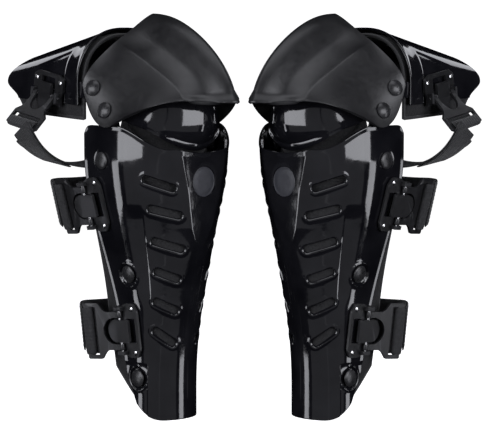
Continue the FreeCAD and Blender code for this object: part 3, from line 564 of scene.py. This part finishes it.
def shin_point(across, z, inset=0.0, back=shell_back):
    """A point of the shin outline: a blunt front, then a straight wall on each side."""
    angle = np.minimum(1.0, np.abs(across) / FRONT_SHARE) * math.pi / 2
    power = outline_power(z)
    x = (shin_half_width(z) - inset) * np.sin(angle) ** power
    y = -(shin_depth(z) - inset) * np.clip(np.cos(angle), 0, 1) ** power
    behind = back(z) * (np.abs(across) - FRONT_SHARE) / (1 - FRONT_SHARE)
    y = np.where(np.abs(across) > FRONT_SHARE, behind, y)
    return np.stack([np.copysign(x, across), y, z + 0 * x], axis=-1)


def shell_top(across):
    angle = np.abs(across) * 90.0 / FRONT_SHARE
    corner = 9.0 * np.clip((np.abs(across) - 0.93) / 0.07, 0, 1) ** 2.5
    return 283.0 + 4.0 * smoothstep(angle / 33.0) + 24.0 * smoothstep((angle - 33.0) / 50.0) - corner


def shell_foot(across):
    """A round sweep from the front of the foot up to the back corners."""
    return 50.0 * np.clip((np.abs(across) - 0.25) / 0.75, 0, 1) ** 2.4


def wall_site(side, y, z, roll=0.0):
    slope = shin_half_width(z + 0.5) - shin_half_width(z - 0.5)
    return Site([side * shin_half_width(z), y, z], axes_of([side, 0, -slope], [0, 1, 0], roll))


def shin_site(across, z):
    here = shin_point(np.array(across), np.array(z))
    upward = shin_point(np.array(across), z + 0.5) - shin_point(np.array(across), z - 0.5)
    around = shin_point(np.array(across + 0.004), z) - shin_point(np.array(across - 0.004), z)
    return Site(here, axes_of(np.cross(around, upward), [0, 1, 0]))


def vent_site(side, z, angle, rise):
    """X of the site runs along the slot, towards the back of the leg."""
    site = shin_site(side * angle / 90.0 * FRONT_SHARE, z)
    back, out = site.axes[:, 0], site.axes[:, 2]
    side_dir = unit(np.cross(back, [0, 0, 1]))
    c, s = math.cos(math.radians(rise)), math.sin(math.radians(rise))
    lifted = back * c + np.cross(side_dir, back) * s
    return Site(site.origin, axes_of(out, lifted))


def shin_skin(column, t):
    """The outer face: a flat front panel between two ridges, which flow into the flanks."""
    guess = mix(0.0, 285.0, t)
    half = np.interp(guess, PANEL_HEIGHTS, PANEL_HALVES)
    share = np.clip(half / shin_half_width(guess), 0.03, 1) ** (1 / outline_power(guess))
    edge = FRONT_SHARE * np.arcsin(share) / (math.pi / 2)
    away = np.abs(column)
    flank = mix(edge, 1.0, (away - PANEL_COLUMNS) / (1 - PANEL_COLUMNS))
    across = np.where(away <= PANEL_COLUMNS, edge * away / PANEL_COLUMNS, flank)
    across = np.copysign(across, column)
    z = mix(shell_foot(across), shell_top(across), t)
    point = shin_point(across, z)
    ridge = shin_point(edge + 0 * across, z)
    flat = -shin_depth(z) + 1.2 * smoothstep((z - 185.0) / 40.0)
    push = ridge[..., 1] - flat
    fade = (1 - np.clip((np.abs(point[..., 0]) - ridge[..., 0]) / 26.0, 0, 1)) ** 2
    point[..., 1] = np.where(
        away <= PANEL_COLUMNS, flat, np.minimum(point[..., 1], point[..., 1] - push * fade)
    )
    return point, across


def slot_distance(places, length, high):
    """Signed distance from points of a site's plane to a round-ended slot."""
    run = (length - high) / 2
    beyond = np.maximum(np.abs(places[..., 0]) - run, 0)
    return np.hypot(beyond, places[..., 1]) - high / 2


def shin_relief(point, across):
    """What is moulded into the shell, as a height along its normal."""
    z = point[..., 2]
    angle = np.abs(across) * 90.0 / FRONT_SHARE
    height = -0.9 * smoothstep((angle - 58.0) / 2.5) * smoothstep((z - 120.0) / 20.0) * (
        1 - smoothstep((z - 214.0) / 18.0)
    ) * (1 - smoothstep((angle - 68.0) / 12.0))
    foot = smoothstep((angle - 65.0) / 3.0) * (1 - smoothstep((z - 56.0) / 5.0))
    height -= 1.5 * foot
    for side in (OUTER, INNER):
        for number, (y, stud_z) in enumerate(SHIN_STUDS):
            away = np.linalg.norm(point - wall_site(side, y, stud_z).origin, axis=-1)
            if number == 0:
                height -= 0.5 * bell(away - 10.2, 0.9)
            else:
                height -= 1.6 * (1 - smoothstep((away - STUD_LEDGE) / 1.4))
                height += 1.0 * bell(away - 13.0, 1.4)
        for vent_z, vent_angle, length, rise in VENTS:
            local = vent_site(side, vent_z, vent_angle, rise).into(point)
            near = np.abs(local[..., 2]) < 12.0
            off = slot_distance(local, length, VENT_HIGH)
            height += np.where(near, 0.55 * bell(off - 1.6, 1.5), 0.0)
    from_top = shell_top(across) - z
    from_back = shell_back(z) * (1 - np.abs(across)) / (1 - FRONT_SHARE)
    return height + 0.6 * bell(np.minimum(from_top, from_back), 2.6)


def on_skin(site, places, grid, columns, rows):
    """Points of the skin that lie over places (p, q) of a site's plane, and normals there."""
    away = np.linalg.norm(grid - site.origin, axis=-1)
    i, j = np.unravel_index(np.argmin(away), away.shape)
    column = np.full(len(places), columns[i])
    t = np.full(len(places), rows[j])
    small = 1e-4
    for _ in range(8):
        here = site.into(shin_skin(column, t)[0])
        by_column = (site.into(shin_skin(column + small, t)[0]) - here) / small
        by_t = (site.into(shin_skin(column, t + small)[0]) - here) / small
        miss = places - here[:, :2]
        det = by_column[:, 0] * by_t[:, 1] - by_column[:, 1] * by_t[:, 0]
        column = column + (miss[:, 0] * by_t[:, 1] - miss[:, 1] * by_t[:, 0]) / det
        t = t + (miss[:, 1] * by_column[:, 0] - miss[:, 0] * by_column[:, 1]) / det
    here = shin_skin(column, t)[0]
    around = shin_skin(column + small, t)[0] - here
    upward = shin_skin(column, t + small)[0] - here
    return here, unit(np.cross(around, upward))


def slot_outline(length, high, grow, steps=9):
    run, radius = (length - high) / 2, high / 2 + grow
    points = []
    for end, first in ((1, -90.0), (-1, 90.0)):
        for angle in np.radians(np.linspace(first, first + 180.0, steps)):
            points.append((end * run + radius * math.cos(angle), radius * math.sin(angle)))
    return np.array(points)


def ring_cutter(name, rings):
    """A closed solid through rings of points, from the deepest to the outermost."""
    count = len(rings[0])
    grid = np.array(rings)
    faces = [list(f) for f in quads(len(rings), count)]
    last = [(len(rings) - 1) * count]
    for k in range(len(rings) - 1):
        faces.append([k * count + count - 1, (k + 1) * count + count - 1, (k + 1) * count, k * count])
    faces.append(list(range(count)))
    faces.append([last[0] + i for i in reversed(range(count))])
    obj = mesh_object(name, grid, faces)
    obj.data.validate()
    mesh = obj.data
    volume = sum(p.center.dot(p.normal) * p.area for p in mesh.polygons)
    if volume < 0:
        mesh.flip_normals()
    return obj


FLARE = ((-7.0, 0.0), (-1.5, 0.0), (-0.9, 0.12), (-0.3, 0.55), (0.3, 1.15), (2.6, 1.5))


def make_shin_shell():
    columns, rows = np.linspace(-1, 1, 231), np.linspace(0, 1, 191)
    grid, across = shin_skin(columns[:, None] + 0 * rows, rows + 0 * columns[:, None])
    raised = grid + grid_normals(grid) * shin_relief(grid, across)[..., None]
    shell = thicken(grid_object("shin_skin_r", raised), SHIN_WALL, 0.8)
    cutters = []
    for side in (OUTER, INNER):
        for z, angle, length, rise in VENTS:
            site = vent_site(side, z, angle, rise)
            rings = []
            for lift, grow in FLARE:
                outline = slot_outline(length, VENT_HIGH, grow - 0.5)
                here, normal = on_skin(site, outline, grid, columns, rows)
                rings.append(here + normal * lift)
            cutters.append(ring_cutter("vent_cutter", rings))
    front = Site([0, badge_face(), BADGE_HEIGHT], axes_of([0, -1, 0], [1, 0, 0]))
    circle = np.linspace(0, 2 * math.pi, 64, endpoint=False)
    rings = []
    for lift, grow in ((-1.3, 0.3), (-0.35, 0.3), (0.15, 0.9), (3.0, 2.0)):
        radius = BADGE_RADIUS + grow
        lap = np.stack([radius * np.cos(circle), radius * np.sin(circle), lift + 0 * circle], -1)
        rings.append(front.out(lap))
    cutters.append(ring_cutter("badge_cutter", rings))
    cut(shell, [join("cutters", cutters)])
    paint(shell, GLOSS)
    finish_pair(shell, "shin", ["shin_shell"])


def badge_face():
    return -(SHIN_TOP_DEPTH - 1.2)


def make_badge():
    site = Site([0, badge_face(), BADGE_HEIGHT], axes_of([0, -1, 0], [1, 0, 0]))
    r = BADGE_RADIUS
    profile = [(0, -0.2), (r * 0.5, -0.22), (r - 2.2, -0.3), (r - 1.7, -0.45), (r - 1.3, -0.3),
               (r - 0.6, -0.25), (r, -0.6), (r, -1.25), (r - 1, -1.25), (0, -1.25)]
    badge = paint(ring_profile("badge_disc_r", profile, site, 72), BADGE)
    finish_pair(badge, "shin", ["badge"])


def dome_profile(radius, high, lip=0.35):
    """A low dome with a rounded shoulder and a short straight edge."""
    arc = [(radius * math.sin(a), high * 0.3 + (high * 0.7) * math.cos(a))
           for a in np.linspace(0, math.pi / 2, 14)]
    return arc + [(radius + 0.05, lip), (radius - 0.2, 0.0), (radius - 0.5, -0.2), (0, -0.2)]


def make_studs():
    studs = []
    for side in (OUTER, INNER):
        for number, (y, z) in enumerate(SHIN_STUDS):
            seat = 0.1 if number == 0 else -1.45
            site = wall_site(side, y, z).moved(0, 0, seat)
            studs.append(ring_profile("stud", dome_profile(STUD_RADIUS, STUD_HIGH), site))
            shank = [(3.0, 0.0), (3.0, -2.0 if number else -3.0), (0.0, -2.0 if number else -3.0)]
            studs.append(ring_profile("shank", [(0.0, 0.0)] + shank, site, 24))
    finish_pair(paint(join("liner_studs_r", studs), STUD), "shin", ["pad_studs"])


make_shin_shell()
make_badge()
make_studs()

# --------------------------------------------------------------------------- knee cap and cup


def bezier(a, b, c, t):
    a, b, c = (np.array((0.0, *p)) for p in (a, b, c))
    t = np.asarray(t)[..., None]
    return a * (1 - t) ** 2 + b * 2 * t * (1 - t) + c * t ** 2


def wedge_bend(share):
    reach = 1 - share ** 1.15
    flank = np.maximum(1.22 * (1 - reach) ** 0.85, 1e-6)
    lobe = 1 - 0.667 * reach ** 2
    return (flank ** -12.0 + lobe ** -12.0) ** (-1 / 12.0) * (share > 0), reach


def round_bend(share):
    reach = 1 - share ** 1.65
    return np.maximum(1 - reach ** 2.2, 0) ** 0.6, reach


def visor_point(across, half, middle, ear, arch, bend):
    width, reach = bend(np.abs(across))
    point = ear + (middle - ear) * reach[..., None]
    point[..., 2] += arch * np.sin(math.pi * reach)
    point[..., 0] = np.copysign(half * width, across)
    return point


def cap_point(across, t):
    angle = t * math.pi / 2
    power = 2 / 1.65
    y = 12.0 - 121.5 * np.clip(np.cos(angle), 0, 1) ** power
    z = 335.0 + 92.0 * np.sin(angle) ** power
    middle = np.stack([0 * y, y, z], -1)
    ear = bezier((-9, 311), (20, 303), (34, 353), t)
    arch = 11.0 * (1 - smoothstep(t / 0.6))
    return visor_point(across, 80.0, middle, ear, arch, wedge_bend)


class Curve:
    """A natural cubic spline through points, by chord length, for t from 0 to 1."""

    def __init__(self, points):
        self.points = np.array(points, float)
        chord = np.linalg.norm(np.diff(self.points, axis=0), axis=1)
        self.knots = np.concatenate([[0], np.cumsum(chord)])
        count = len(self.points)
        matrix, right = np.eye(count), np.zeros_like(self.points)
        for i in range(1, count - 1):
            matrix[i, i - 1:i + 2] = chord[i - 1], 2 * (chord[i - 1] + chord[i]), chord[i]
            steps = np.diff(self.points[i - 1:i + 2], axis=0)
            right[i] = 6 * (steps[1] / chord[i] - steps[0] / chord[i - 1])
        self.bends = np.linalg.solve(matrix, right)

    def at(self, t):
        place = np.asarray(t, float) * self.knots[-1]
        i = np.clip(np.searchsorted(self.knots, place, side="right") - 1, 0, len(self.knots) - 2)
        span = (self.knots[i + 1] - self.knots[i])[..., None]
        b = (place - self.knots[i])[..., None] / span
        a = 1 - b
        lift = (a ** 3 - a) * self.bends[i] + (b ** 3 - b) * self.bends[i + 1]
        return a * self.points[i] + b * self.points[i + 1] + lift * span ** 2 / 6


CUP_LINE = Curve([(0, y, z) for y, z in ((-54, 286), (-66, 303), (-68, 320), (-65, 336), (-50, 350))])
KNEE_PAD_LINE = Curve([
    (0, y, z) for y, z in ((-40, 268), (-53, 305), (-46, 335), (-30, 360), (-4, 386), (30, 394))
])


def cup_point(across, t):
    ear = bezier((-9, 317), (42, 325), (27, 360), t)
    arch = 9.0 * (1 - smoothstep(t / 0.5))
    return visor_point(across, 65.6, CUP_LINE.at(t), ear, arch, round_bend)


def knee_pad_point(across, t):
    ear = bezier((-6, 318), (10, 345), (26, 368), t)
    return visor_point(across, 55.0, KNEE_PAD_LINE.at(t), ear, 0.0, round_bend)


def spread_grid(point, across, along):
    columns, rows = np.linspace(-1, 1, across), np.linspace(0, 1, along)
    columns, rows = columns[:, None] + 0 * rows, rows + 0 * columns[:, None]
    return point(columns, rows), columns, rows


def cap_relief(point, t):
    """A crease on each flank, a wide soft groove inside it, a full middle and a brim at the nose."""
    x = np.abs(point[..., 0])
    crest = mix(38.0, 44.0, smoothstep(t))
    inside = crest - x
    flank = 2.4 * bell(np.minimum(inside, 0), 18.0)
    slope = 1 - (1 - np.clip(inside / 18.0, 0, 1)) ** 2
    band = 2.4 - 6.4 * slope + 6.6 * smoothstep((inside - 15.0) / 23.0)
    relief = np.where(inside > 0, band, flank)
    relief *= 1 - 0.85 * smoothstep((t - 0.72) / 0.28)
    brim = smoothstep((inside + 4.0) / 14.0) * (1 - smoothstep(t / 0.12))
    return relief * smoothstep(np.minimum(1, t / 0.05 + 0.5)) + 3.6 * brim


def make_cap():
    grid, _, t = spread_grid(cap_point, 241, 91)
    raised = grid + grid_normals(grid) * cap_relief(grid, t)[..., None]
    cap = paint(thicken(grid_object("cap_shell_r", raised), 3.0, 1.0), SATIN)
    finish_pair(cap, "knee", ["knee_cap"], sharp=45.0)


def make_cup():
    grid, across, t = spread_grid(cup_point, 181, 61)
    clear_of_links = smoothstep((0.62 - np.abs(across)) / 0.25)
    relief = 1.6 * (1 - smoothstep((t - 0.07) / 0.03)) * clear_of_links
    raised = grid + grid_normals(grid) * relief[..., None]
    cup = paint(thicken(grid_object("cup_shell_r", raised), 2.3, 0.8), GLOSS)
    finish_pair(cup, "knee", ["knee_cup"])


make_cap()
make_cup()

# --------------------------------------------------------------------------- thigh shell

ARCH_SHARE, ARCH_POWER = 0.8, 2 / 2.3
THIGH_RIM_Y, THIGH_END_Y = 52.0, 195.0
THIGH_HALVES = (70.0, 50.0)           # half width at the rim and at the far end
CROWN_CUT, HEM_CUT = 30.0, 22.0       # how far the far end draws back above and below its tip


def thigh_share(y):
    return (y - THIGH_RIM_Y) / (THIGH_END_Y - THIGH_RIM_Y)


def thigh_point(across, y, inset, hem):
    share = thigh_share(y)
    springing = mix(350.0, 352.0, share)
    rise = mix(63.0, 27.0, share) - inset
    angle = np.minimum(1.0, np.abs(across) / ARCH_SHARE) * math.pi / 2
    x = (mix(*THIGH_HALVES, share) - inset) * np.sin(angle) ** ARCH_POWER
    z = springing + rise * np.clip(np.cos(angle), 0, 1) ** ARCH_POWER
    below = mix(springing, hem, (np.abs(across) - ARCH_SHARE) / (1 - ARCH_SHARE))
    z = np.where(np.abs(across) > ARCH_SHARE, below, z)
    return np.stack([np.copysign(x, across), y, z], -1)


def thigh_surface(inset, rim_back, end_short, hem_rim, hem_end, rim_tuck=0.0):
    def point(across, t):
        first = THIGH_RIM_Y + rim_back + 4.0 * (1 - np.abs(across)) ** 2
        crown_cut = CROWN_CUT * (1 - smoothstep(np.abs(across) / 0.75))
        hem_cut = HEM_CUT * smoothstep((np.abs(across) - 0.78) / 0.22)
        last = THIGH_END_Y - end_short - crown_cut - hem_cut
        y = mix(first, last, t)
        tuck = rim_tuck * (1 - smoothstep((y - THIGH_RIM_Y) / 25.0))
        return thigh_point(across, y, inset + tuck, mix(hem_rim, hem_end, t))
    return point


def thigh_site(side, y, z, roll):
    slope = (THIGH_HALVES[1] - THIGH_HALVES[0]) / (THIGH_END_Y - THIGH_RIM_Y)
    x = side * mix(*THIGH_HALVES, thigh_share(y))
    return Site([x, y, z], axes_of([side, -slope, 0], [0, 0, -1], roll))


LINK_OUTSIDE, LINK_THICK = 68.4, 2.4


def side_plate(name, side, start, start_radius, end, end_radius):
    """A flat plate that wraps two circles, in the layer of links and thigh ears."""
    run = np.array(end, float) - np.array(start, float)
    lean = math.acos((start_radius - end_radius) / np.linalg.norm(run))
    heading = math.atan2(run[1], run[0])
    outline = []
    for centre, radius, first, last in (
        (start, start_radius, heading + lean, heading + 2 * math.pi - lean),
        (end, end_radius, heading - lean, heading + lean),
    ):
        for angle in np.linspace(first, last, 24):
            outline.append((centre[0] + radius * math.cos(angle), centre[1] + radius * math.sin(angle)))
    outline = np.array(outline)
    outside, inside = side * LINK_OUTSIDE, side * (LINK_OUTSIDE - LINK_THICK)
    rings = [np.insert(outline, 0, x, axis=1) for x in (inside, outside)]
    plate = ring_cutter(name, rings)
    add_bevel(plate, 0.6, 2)
    bake_modifiers(plate)
    return plate


def make_thigh_shell():
    grid, across, _ = spread_grid(thigh_surface(0.0, 0.0, 0.0, 331.0, 336.0), 181, 101)
    from_rim = grid[..., 1] - (THIGH_RIM_Y + 4.0 * (1 - np.abs(across)) ** 2)
    relief = 0.9 * bell(from_rim, 3.0)
    relief -= 0.6 * bell(from_rim - 20.0, 9.0) * smoothstep((np.abs(grid[..., 0]) - 34.0) / 20.0)
    flat = grid[..., 0] / np.abs(grid[..., 0] + 1e-9)
    relief -= 0.9 * (flat < 0) * smoothstep((from_rim - 26.0) / 3.0) * (
        1 - smoothstep((from_rim - 84.0) / 3.0)
    ) * smoothstep((np.abs(grid[..., 0]) - 52.0) / 2.5)
    raised = grid + grid_normals(grid) * relief[..., None]
    shell = thicken(grid_object("thigh_skin_r", raised), SHIN_WALL, 0.8)
    cutters = []
    for side in (OUTER, INNER):
        site = Site([side * 27.0, 161.0, 384.0], axes_of([side * 0.35, 0.15, 1.0], [0, 1, 0]))
        rings = []
        for lift, grow in ((-24.0, 0.0), (1.0, 0.0), (14.0, 0.2)):
            lap = slot_outline(26.0, 7.0, grow)
            rings.append(site.out(np.insert(lap, 2, lift, axis=1)))
        cutters.append(ring_cutter("slot_cutter", rings))
    cut(shell, [join("cutters", cutters)])
    ears = [side_plate("ear", side, (21.0, 350.0), 8.5, (64.0, 346.0), 8.5) for side in (OUTER, INNER)]
    shell = paint(join("thigh_skin_r", [shell, *ears]), GLOSS)
    finish_pair(shell, "thigh", ["thigh_shell"])


make_thigh_shell()

# --------------------------------------------------------------------------- liners


def tube_along(name, path, normals, radius, sides=8):
    """A round cord along a closed path."""
    tangent = unit(np.roll(path, -1, axis=0) - np.roll(path, 1, axis=0))
    side = unit(np.cross(tangent, normals))
    up = np.cross(side, tangent)
    angles = np.linspace(0, 2 * math.pi, sides, endpoint=False)
    ring = side[:, None] * np.cos(angles)[:, None] + up[:, None] * np.sin(angles)[:, None]
    grid = path[:, None] + ring * radius
    index = np.arange(len(path) * sides).reshape(len(path), sides)
    index = np.vstack([index, index[:1]])
    index = np.hstack([index, index[:, :1]])
    faces = np.stack([index[:-1, :-1], index[:-1, 1:], index[1:, 1:], index[1:, :-1]], -1)
    return mesh_object(name, grid, faces.reshape(-1, 4))


def border_of(grid):
    return np.concatenate([grid[:-1, 0], grid[-1, :-1], grid[:0:-1, -1], grid[0, :0:-1]])


def padded_form(name, outer, thick, channels):
    """A quilted pad under an outer face: full in its fields, drawn in at seams and border."""
    grid, across, t = outer
    normal = grid_normals(grid)
    middle = grid - normal * thick / 2
    edge = np.minimum(1 - np.abs(across), 1.0) * 60.0
    ends = np.minimum(t, 1 - t) * 120.0
    border = smoothstep(np.minimum(edge, ends) / 9.0)
    fullness = (0.42 + 0.58 * border ** 0.5) * (border > 0)
    seams = channels(across, t)
    front = middle + normal * (thick / 2 * fullness)[..., None]
    back = middle - normal * (thick / 2 * fullness * (1 - 0.45 * seams))[..., None]
    body = join("body", [grid_object("front", front), grid_object("back", back[::-1])])
    weld = body.modifiers.new("weld", "WELD")
    weld.merge_threshold = 0.02
    bake_modifiers(body)
    paint(body, LINER)
    piping = tube_along("piping", border_of(middle), border_of(normal), 1.9)
    paint(piping, BINDING)
    return join(name, [body, piping])


def shin_channels(across, t):
    lengthwise = bell(np.abs(across) - 0.42, 0.02) + bell(np.abs(across) - 0.80, 0.02)
    crosswise = sum(bell(t - level, 0.011) for level in (0.2, 0.4, 0.6, 0.8))
    return np.clip(lengthwise + crosswise * (np.abs(across) < 0.42), 0, 1)


def knee_channels(across, t):
    return np.clip(bell(np.abs(across) - 0.45, 0.025) + bell(t - 0.5, 0.02), 0, 1)


def thigh_channels(across, t):
    return np.clip(bell(np.abs(across) - 0.35, 0.02) + bell(t - 0.5, 0.015), 0, 1)


def shin_liner_point(across, t):
    foot = 3.0 + shell_foot(across)
    top = mix(256.0, 302.0, smoothstep((np.abs(across) - 0.5) / 0.35))
    z = mix(foot, top, t)
    gap = 0.4 + 5.4 * smoothstep((z - 225.0) / 30.0)
    return shin_point(across, z, SHIN_WALL + gap + 0.3, liner_back)


def make_liners():
    outer = spread_grid(shin_liner_point, 121, 121)
    finish_pair(padded_form("shin_liner_r", outer, 6.4, shin_channels),
                "shin", ["shin_pad"])
    outer = spread_grid(knee_pad_point, 101, 71)
    finish_pair(padded_form("knee_liner_r", outer, 6.6, knee_channels),
                "knee", ["knee_pad"])
    outer = spread_grid(thigh_surface(SHIN_WALL + 0.6, -1.0, 5.0, 317.0, 322.0, 1.4), 101, 81)
    finish_pair(padded_form("thigh_liner_r", outer, 6.4, thigh_channels),
                "thigh", ["thigh_pad"])


make_liners()

# --------------------------------------------------------------------------- straps

BUCKLES = {
    # name: body, site of the base, angle of the frame away from the shell
    "calf": ("shin", wall_site(OUTER, 20.0, 229.0, 5.0), -2.0),
    "ankle": ("shin", wall_site(OUTER, -3.0, 95.0, 3.0), 15.0),
    "thigh": ("thigh", thigh_site(OUTER, 104.0, 357.0, -8.0), 40.0),
}
ANCHORS = {
    "calf": wall_site(INNER, 17.0, 226.0),
    "ankle": wall_site(INNER, 8.0, 92.0),
    "thigh": thigh_site(INNER, 104.0, 347.0, 0.0),
}
ROUTES = {
    "calf": ((-56, 103, 226), (-26, 117, 225), (10, 116, 225), (43, 98, 225), (62, 70, 226)),
    "ankle": ((-46, 72, 94), (-20, 88, 93), (10, 86, 92), (32, 68, 92)),
    "thigh": ((-88, 108, 290), (-55, 106, 270), (-10, 104, 264), (35, 104, 276), (60, 104, 301)),
}
PIN_OUT, PIN_HIGH = 16.0, 6.6
FOLD_DEEP = 3.6           # how far the folded end of the webbing lies under the frame's middle
FRAME_LONG, BAR_INNER = 43.5, 36.0
STRAP_WIDE, STRAP_THICK = 50.0, 2.2


def strap_section():
    """Webbing in section: twelve low ribs on both faces between two round selvedges."""
    count = 49
    across = np.linspace(-1, 1, count)
    ribs = 0.16 * np.cos(across * math.pi * 12)
    edge = np.sqrt(np.clip(1 - np.abs(across) ** 24, 0, 1))
    height = (STRAP_THICK / 2 - 0.1 + ribs) * edge
    top = np.stack([across * STRAP_WIDE / 2, height], -1)
    return np.concatenate([top, top[::-1] * [1, -1]])


def webbing_object(name, path, widths, closed=False, lift=0.0):
    """Webbing swept along a path; widths gives the direction of its width at each point."""
    if closed:
        tangent = unit(np.roll(path, -1, axis=0) - np.roll(path, 1, axis=0))
    else:
        tangent = unit(np.gradient(path, axis=0))
    widths = unit(widths - tangent * np.sum(widths * tangent, axis=1, keepdims=True))
    normal = np.cross(tangent, widths)
    section = strap_section()
    grid = (
        path[:, None]
        + widths[:, None] * section[:, :1]
        + normal[:, None] * (section[:, 1:] + lift)
    )
    rows, lanes = grid.shape[:2]
    index = np.arange(rows * lanes).reshape(rows, lanes)
    index = np.hstack([index, index[:, :1]])
    if closed:
        index = np.vstack([index, index[:1]])
    faces = np.stack([index[:-1, :-1], index[:-1, 1:], index[1:, 1:], index[1:, :-1]], -1)
    faces = [list(f) for f in faces.reshape(-1, 4)]
    if not closed:
        faces.append([int(i) for i in index[0, :-1]][::-1])
        faces.append([int(i) for i in index[-1, :-1]])
    obj = mesh_object(name, grid, faces)
    run = np.concatenate([[0], np.cumsum(np.linalg.norm(np.diff(path, axis=0), axis=1))])
    layer = obj.data.uv_layers.new(name="UVMap")
    lane = section[:, 0]
    for polygon in obj.data.polygons:
        for loop, vertex in zip(polygon.loop_indices, polygon.vertices):
            layer.data[loop].uv = (lane[vertex % lanes], run[vertex // lanes])
    return paint(obj, WEBBING)


def bar_path(site, gap):
    """Round the strap bar, a racetrack in the XZ plane of the buckle's frame."""
    middle = (FRAME_LONG + BAR_INNER) / 2
    half = (FRAME_LONG - BAR_INNER) / 2 - 1.2
    radius = 1.2 + 1.5 + gap
    points = []
    for end, first in ((1, -90.0), (-1, 90.0)):
        for angle in np.radians(np.linspace(first, first + 180.0, 12)):
            points.append((middle + end * half + radius * 0.62 * math.cos(angle), 0,
                           (radius - 1.2) * math.sin(angle)))
    return site.out(points)


def make_strap(name):
    body, base, flare = BUCKLES[name]
    bar = base.moved(PIN_OUT, 0, PIN_HIGH).flared(flare)
    anchor = ANCHORS[name]
    start = bar.out([FRAME_LONG + 0.3 + STRAP_THICK / 2, 0, -1.5])
    finish = [anchor.out([x, 0, 1.0 + 1.2]) for x in (20.0, 8.0, -6.0)]
    curve = Curve([start, *ROUTES[name], *finish])
    t = np.linspace(0, 1, 97)
    path = curve.at(t)
    first, last = bar.axes[:, 1], anchor.axes[:, 1]
    if first.dot(last) < 0:
        first = -first
    turned = smoothstep(t / 0.75)[:, None]
    widths = unit(first * (1 - turned) + last * turned)
    band = webbing_object("band", path, widths)
    count = 25
    outward = np.cross(unit(np.gradient(path, axis=0)), widths)[:1]
    away = 1.0 if (outward[0] @ (path[0] - np.array([0, 40.0, path[0][2]]))) > 0 else -1.0
    tail = webbing_object("tail", path[3:count], widths[3:count], lift=away * (STRAP_THICK + 0.15))
    loop_path = bar_path(bar, 0.3 + STRAP_THICK / 2)
    loop = webbing_object("loop", loop_path, np.broadcast_to(bar.axes[:, 1], loop_path.shape), True)
    fold_path = bar.out([(x, 0, -FOLD_DEEP) for x in np.linspace(BAR_INNER - 11.0, BAR_INNER + 4.0, 9)])
    fold = webbing_object("fold", fold_path, np.broadcast_to(bar.axes[:, 1], fold_path.shape))
    strap = join(name + "_webbing_r", [band, tail, loop, fold])
    near = bar.out([FRAME_LONG + 6.0, 0, 0])
    far = curve.at(0.42)
    finish_pair(strap, None, [name + "_strap"],
                blend=(body, name + "_frame", far, near), sharp=60.0)


for strap_name in ROUTES:
    make_strap(strap_name)

# --------------------------------------------------------------------------- pieces kept from the frame


def dress(node, material, bevel=None):
    """A better finish for a node that stays: its edges rounded, its material procedural."""
    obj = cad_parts[node]
    obj.data.materials.clear()
    obj.data.materials.append(material)
    if bevel:
        weld = obj.modifiers.new("weld", "WELD")
        weld.merge_threshold = 0.00001
        add_bevel(obj, bevel * MM, 2, 40.0)


for side in ("_r", "_l"):
    for name in BUCKLES:
        dress(name + "_buckle_base" + side, BUCKLE, 0.5)
        dress(name + "_buckle_frame" + side, BUCKLE, 0.5)
        dress(name + "_buckle_tab" + side, BUCKLE, 0.5)
    for node in ("shin_buckle_pins", "thigh_buckle_pin", "shin_rivets", "thigh_rivets"):
        dress(node + side, STEEL)
    for node in ("strap_anchors", "thigh_anchor"):
        dress(node + side, STEEL, 0.4)
    for node in ("pivot_rivets", "pivot_spacers"):
        dress(node + side, STUD)
    dress("side_links" + side, GLOSS, 0.5)
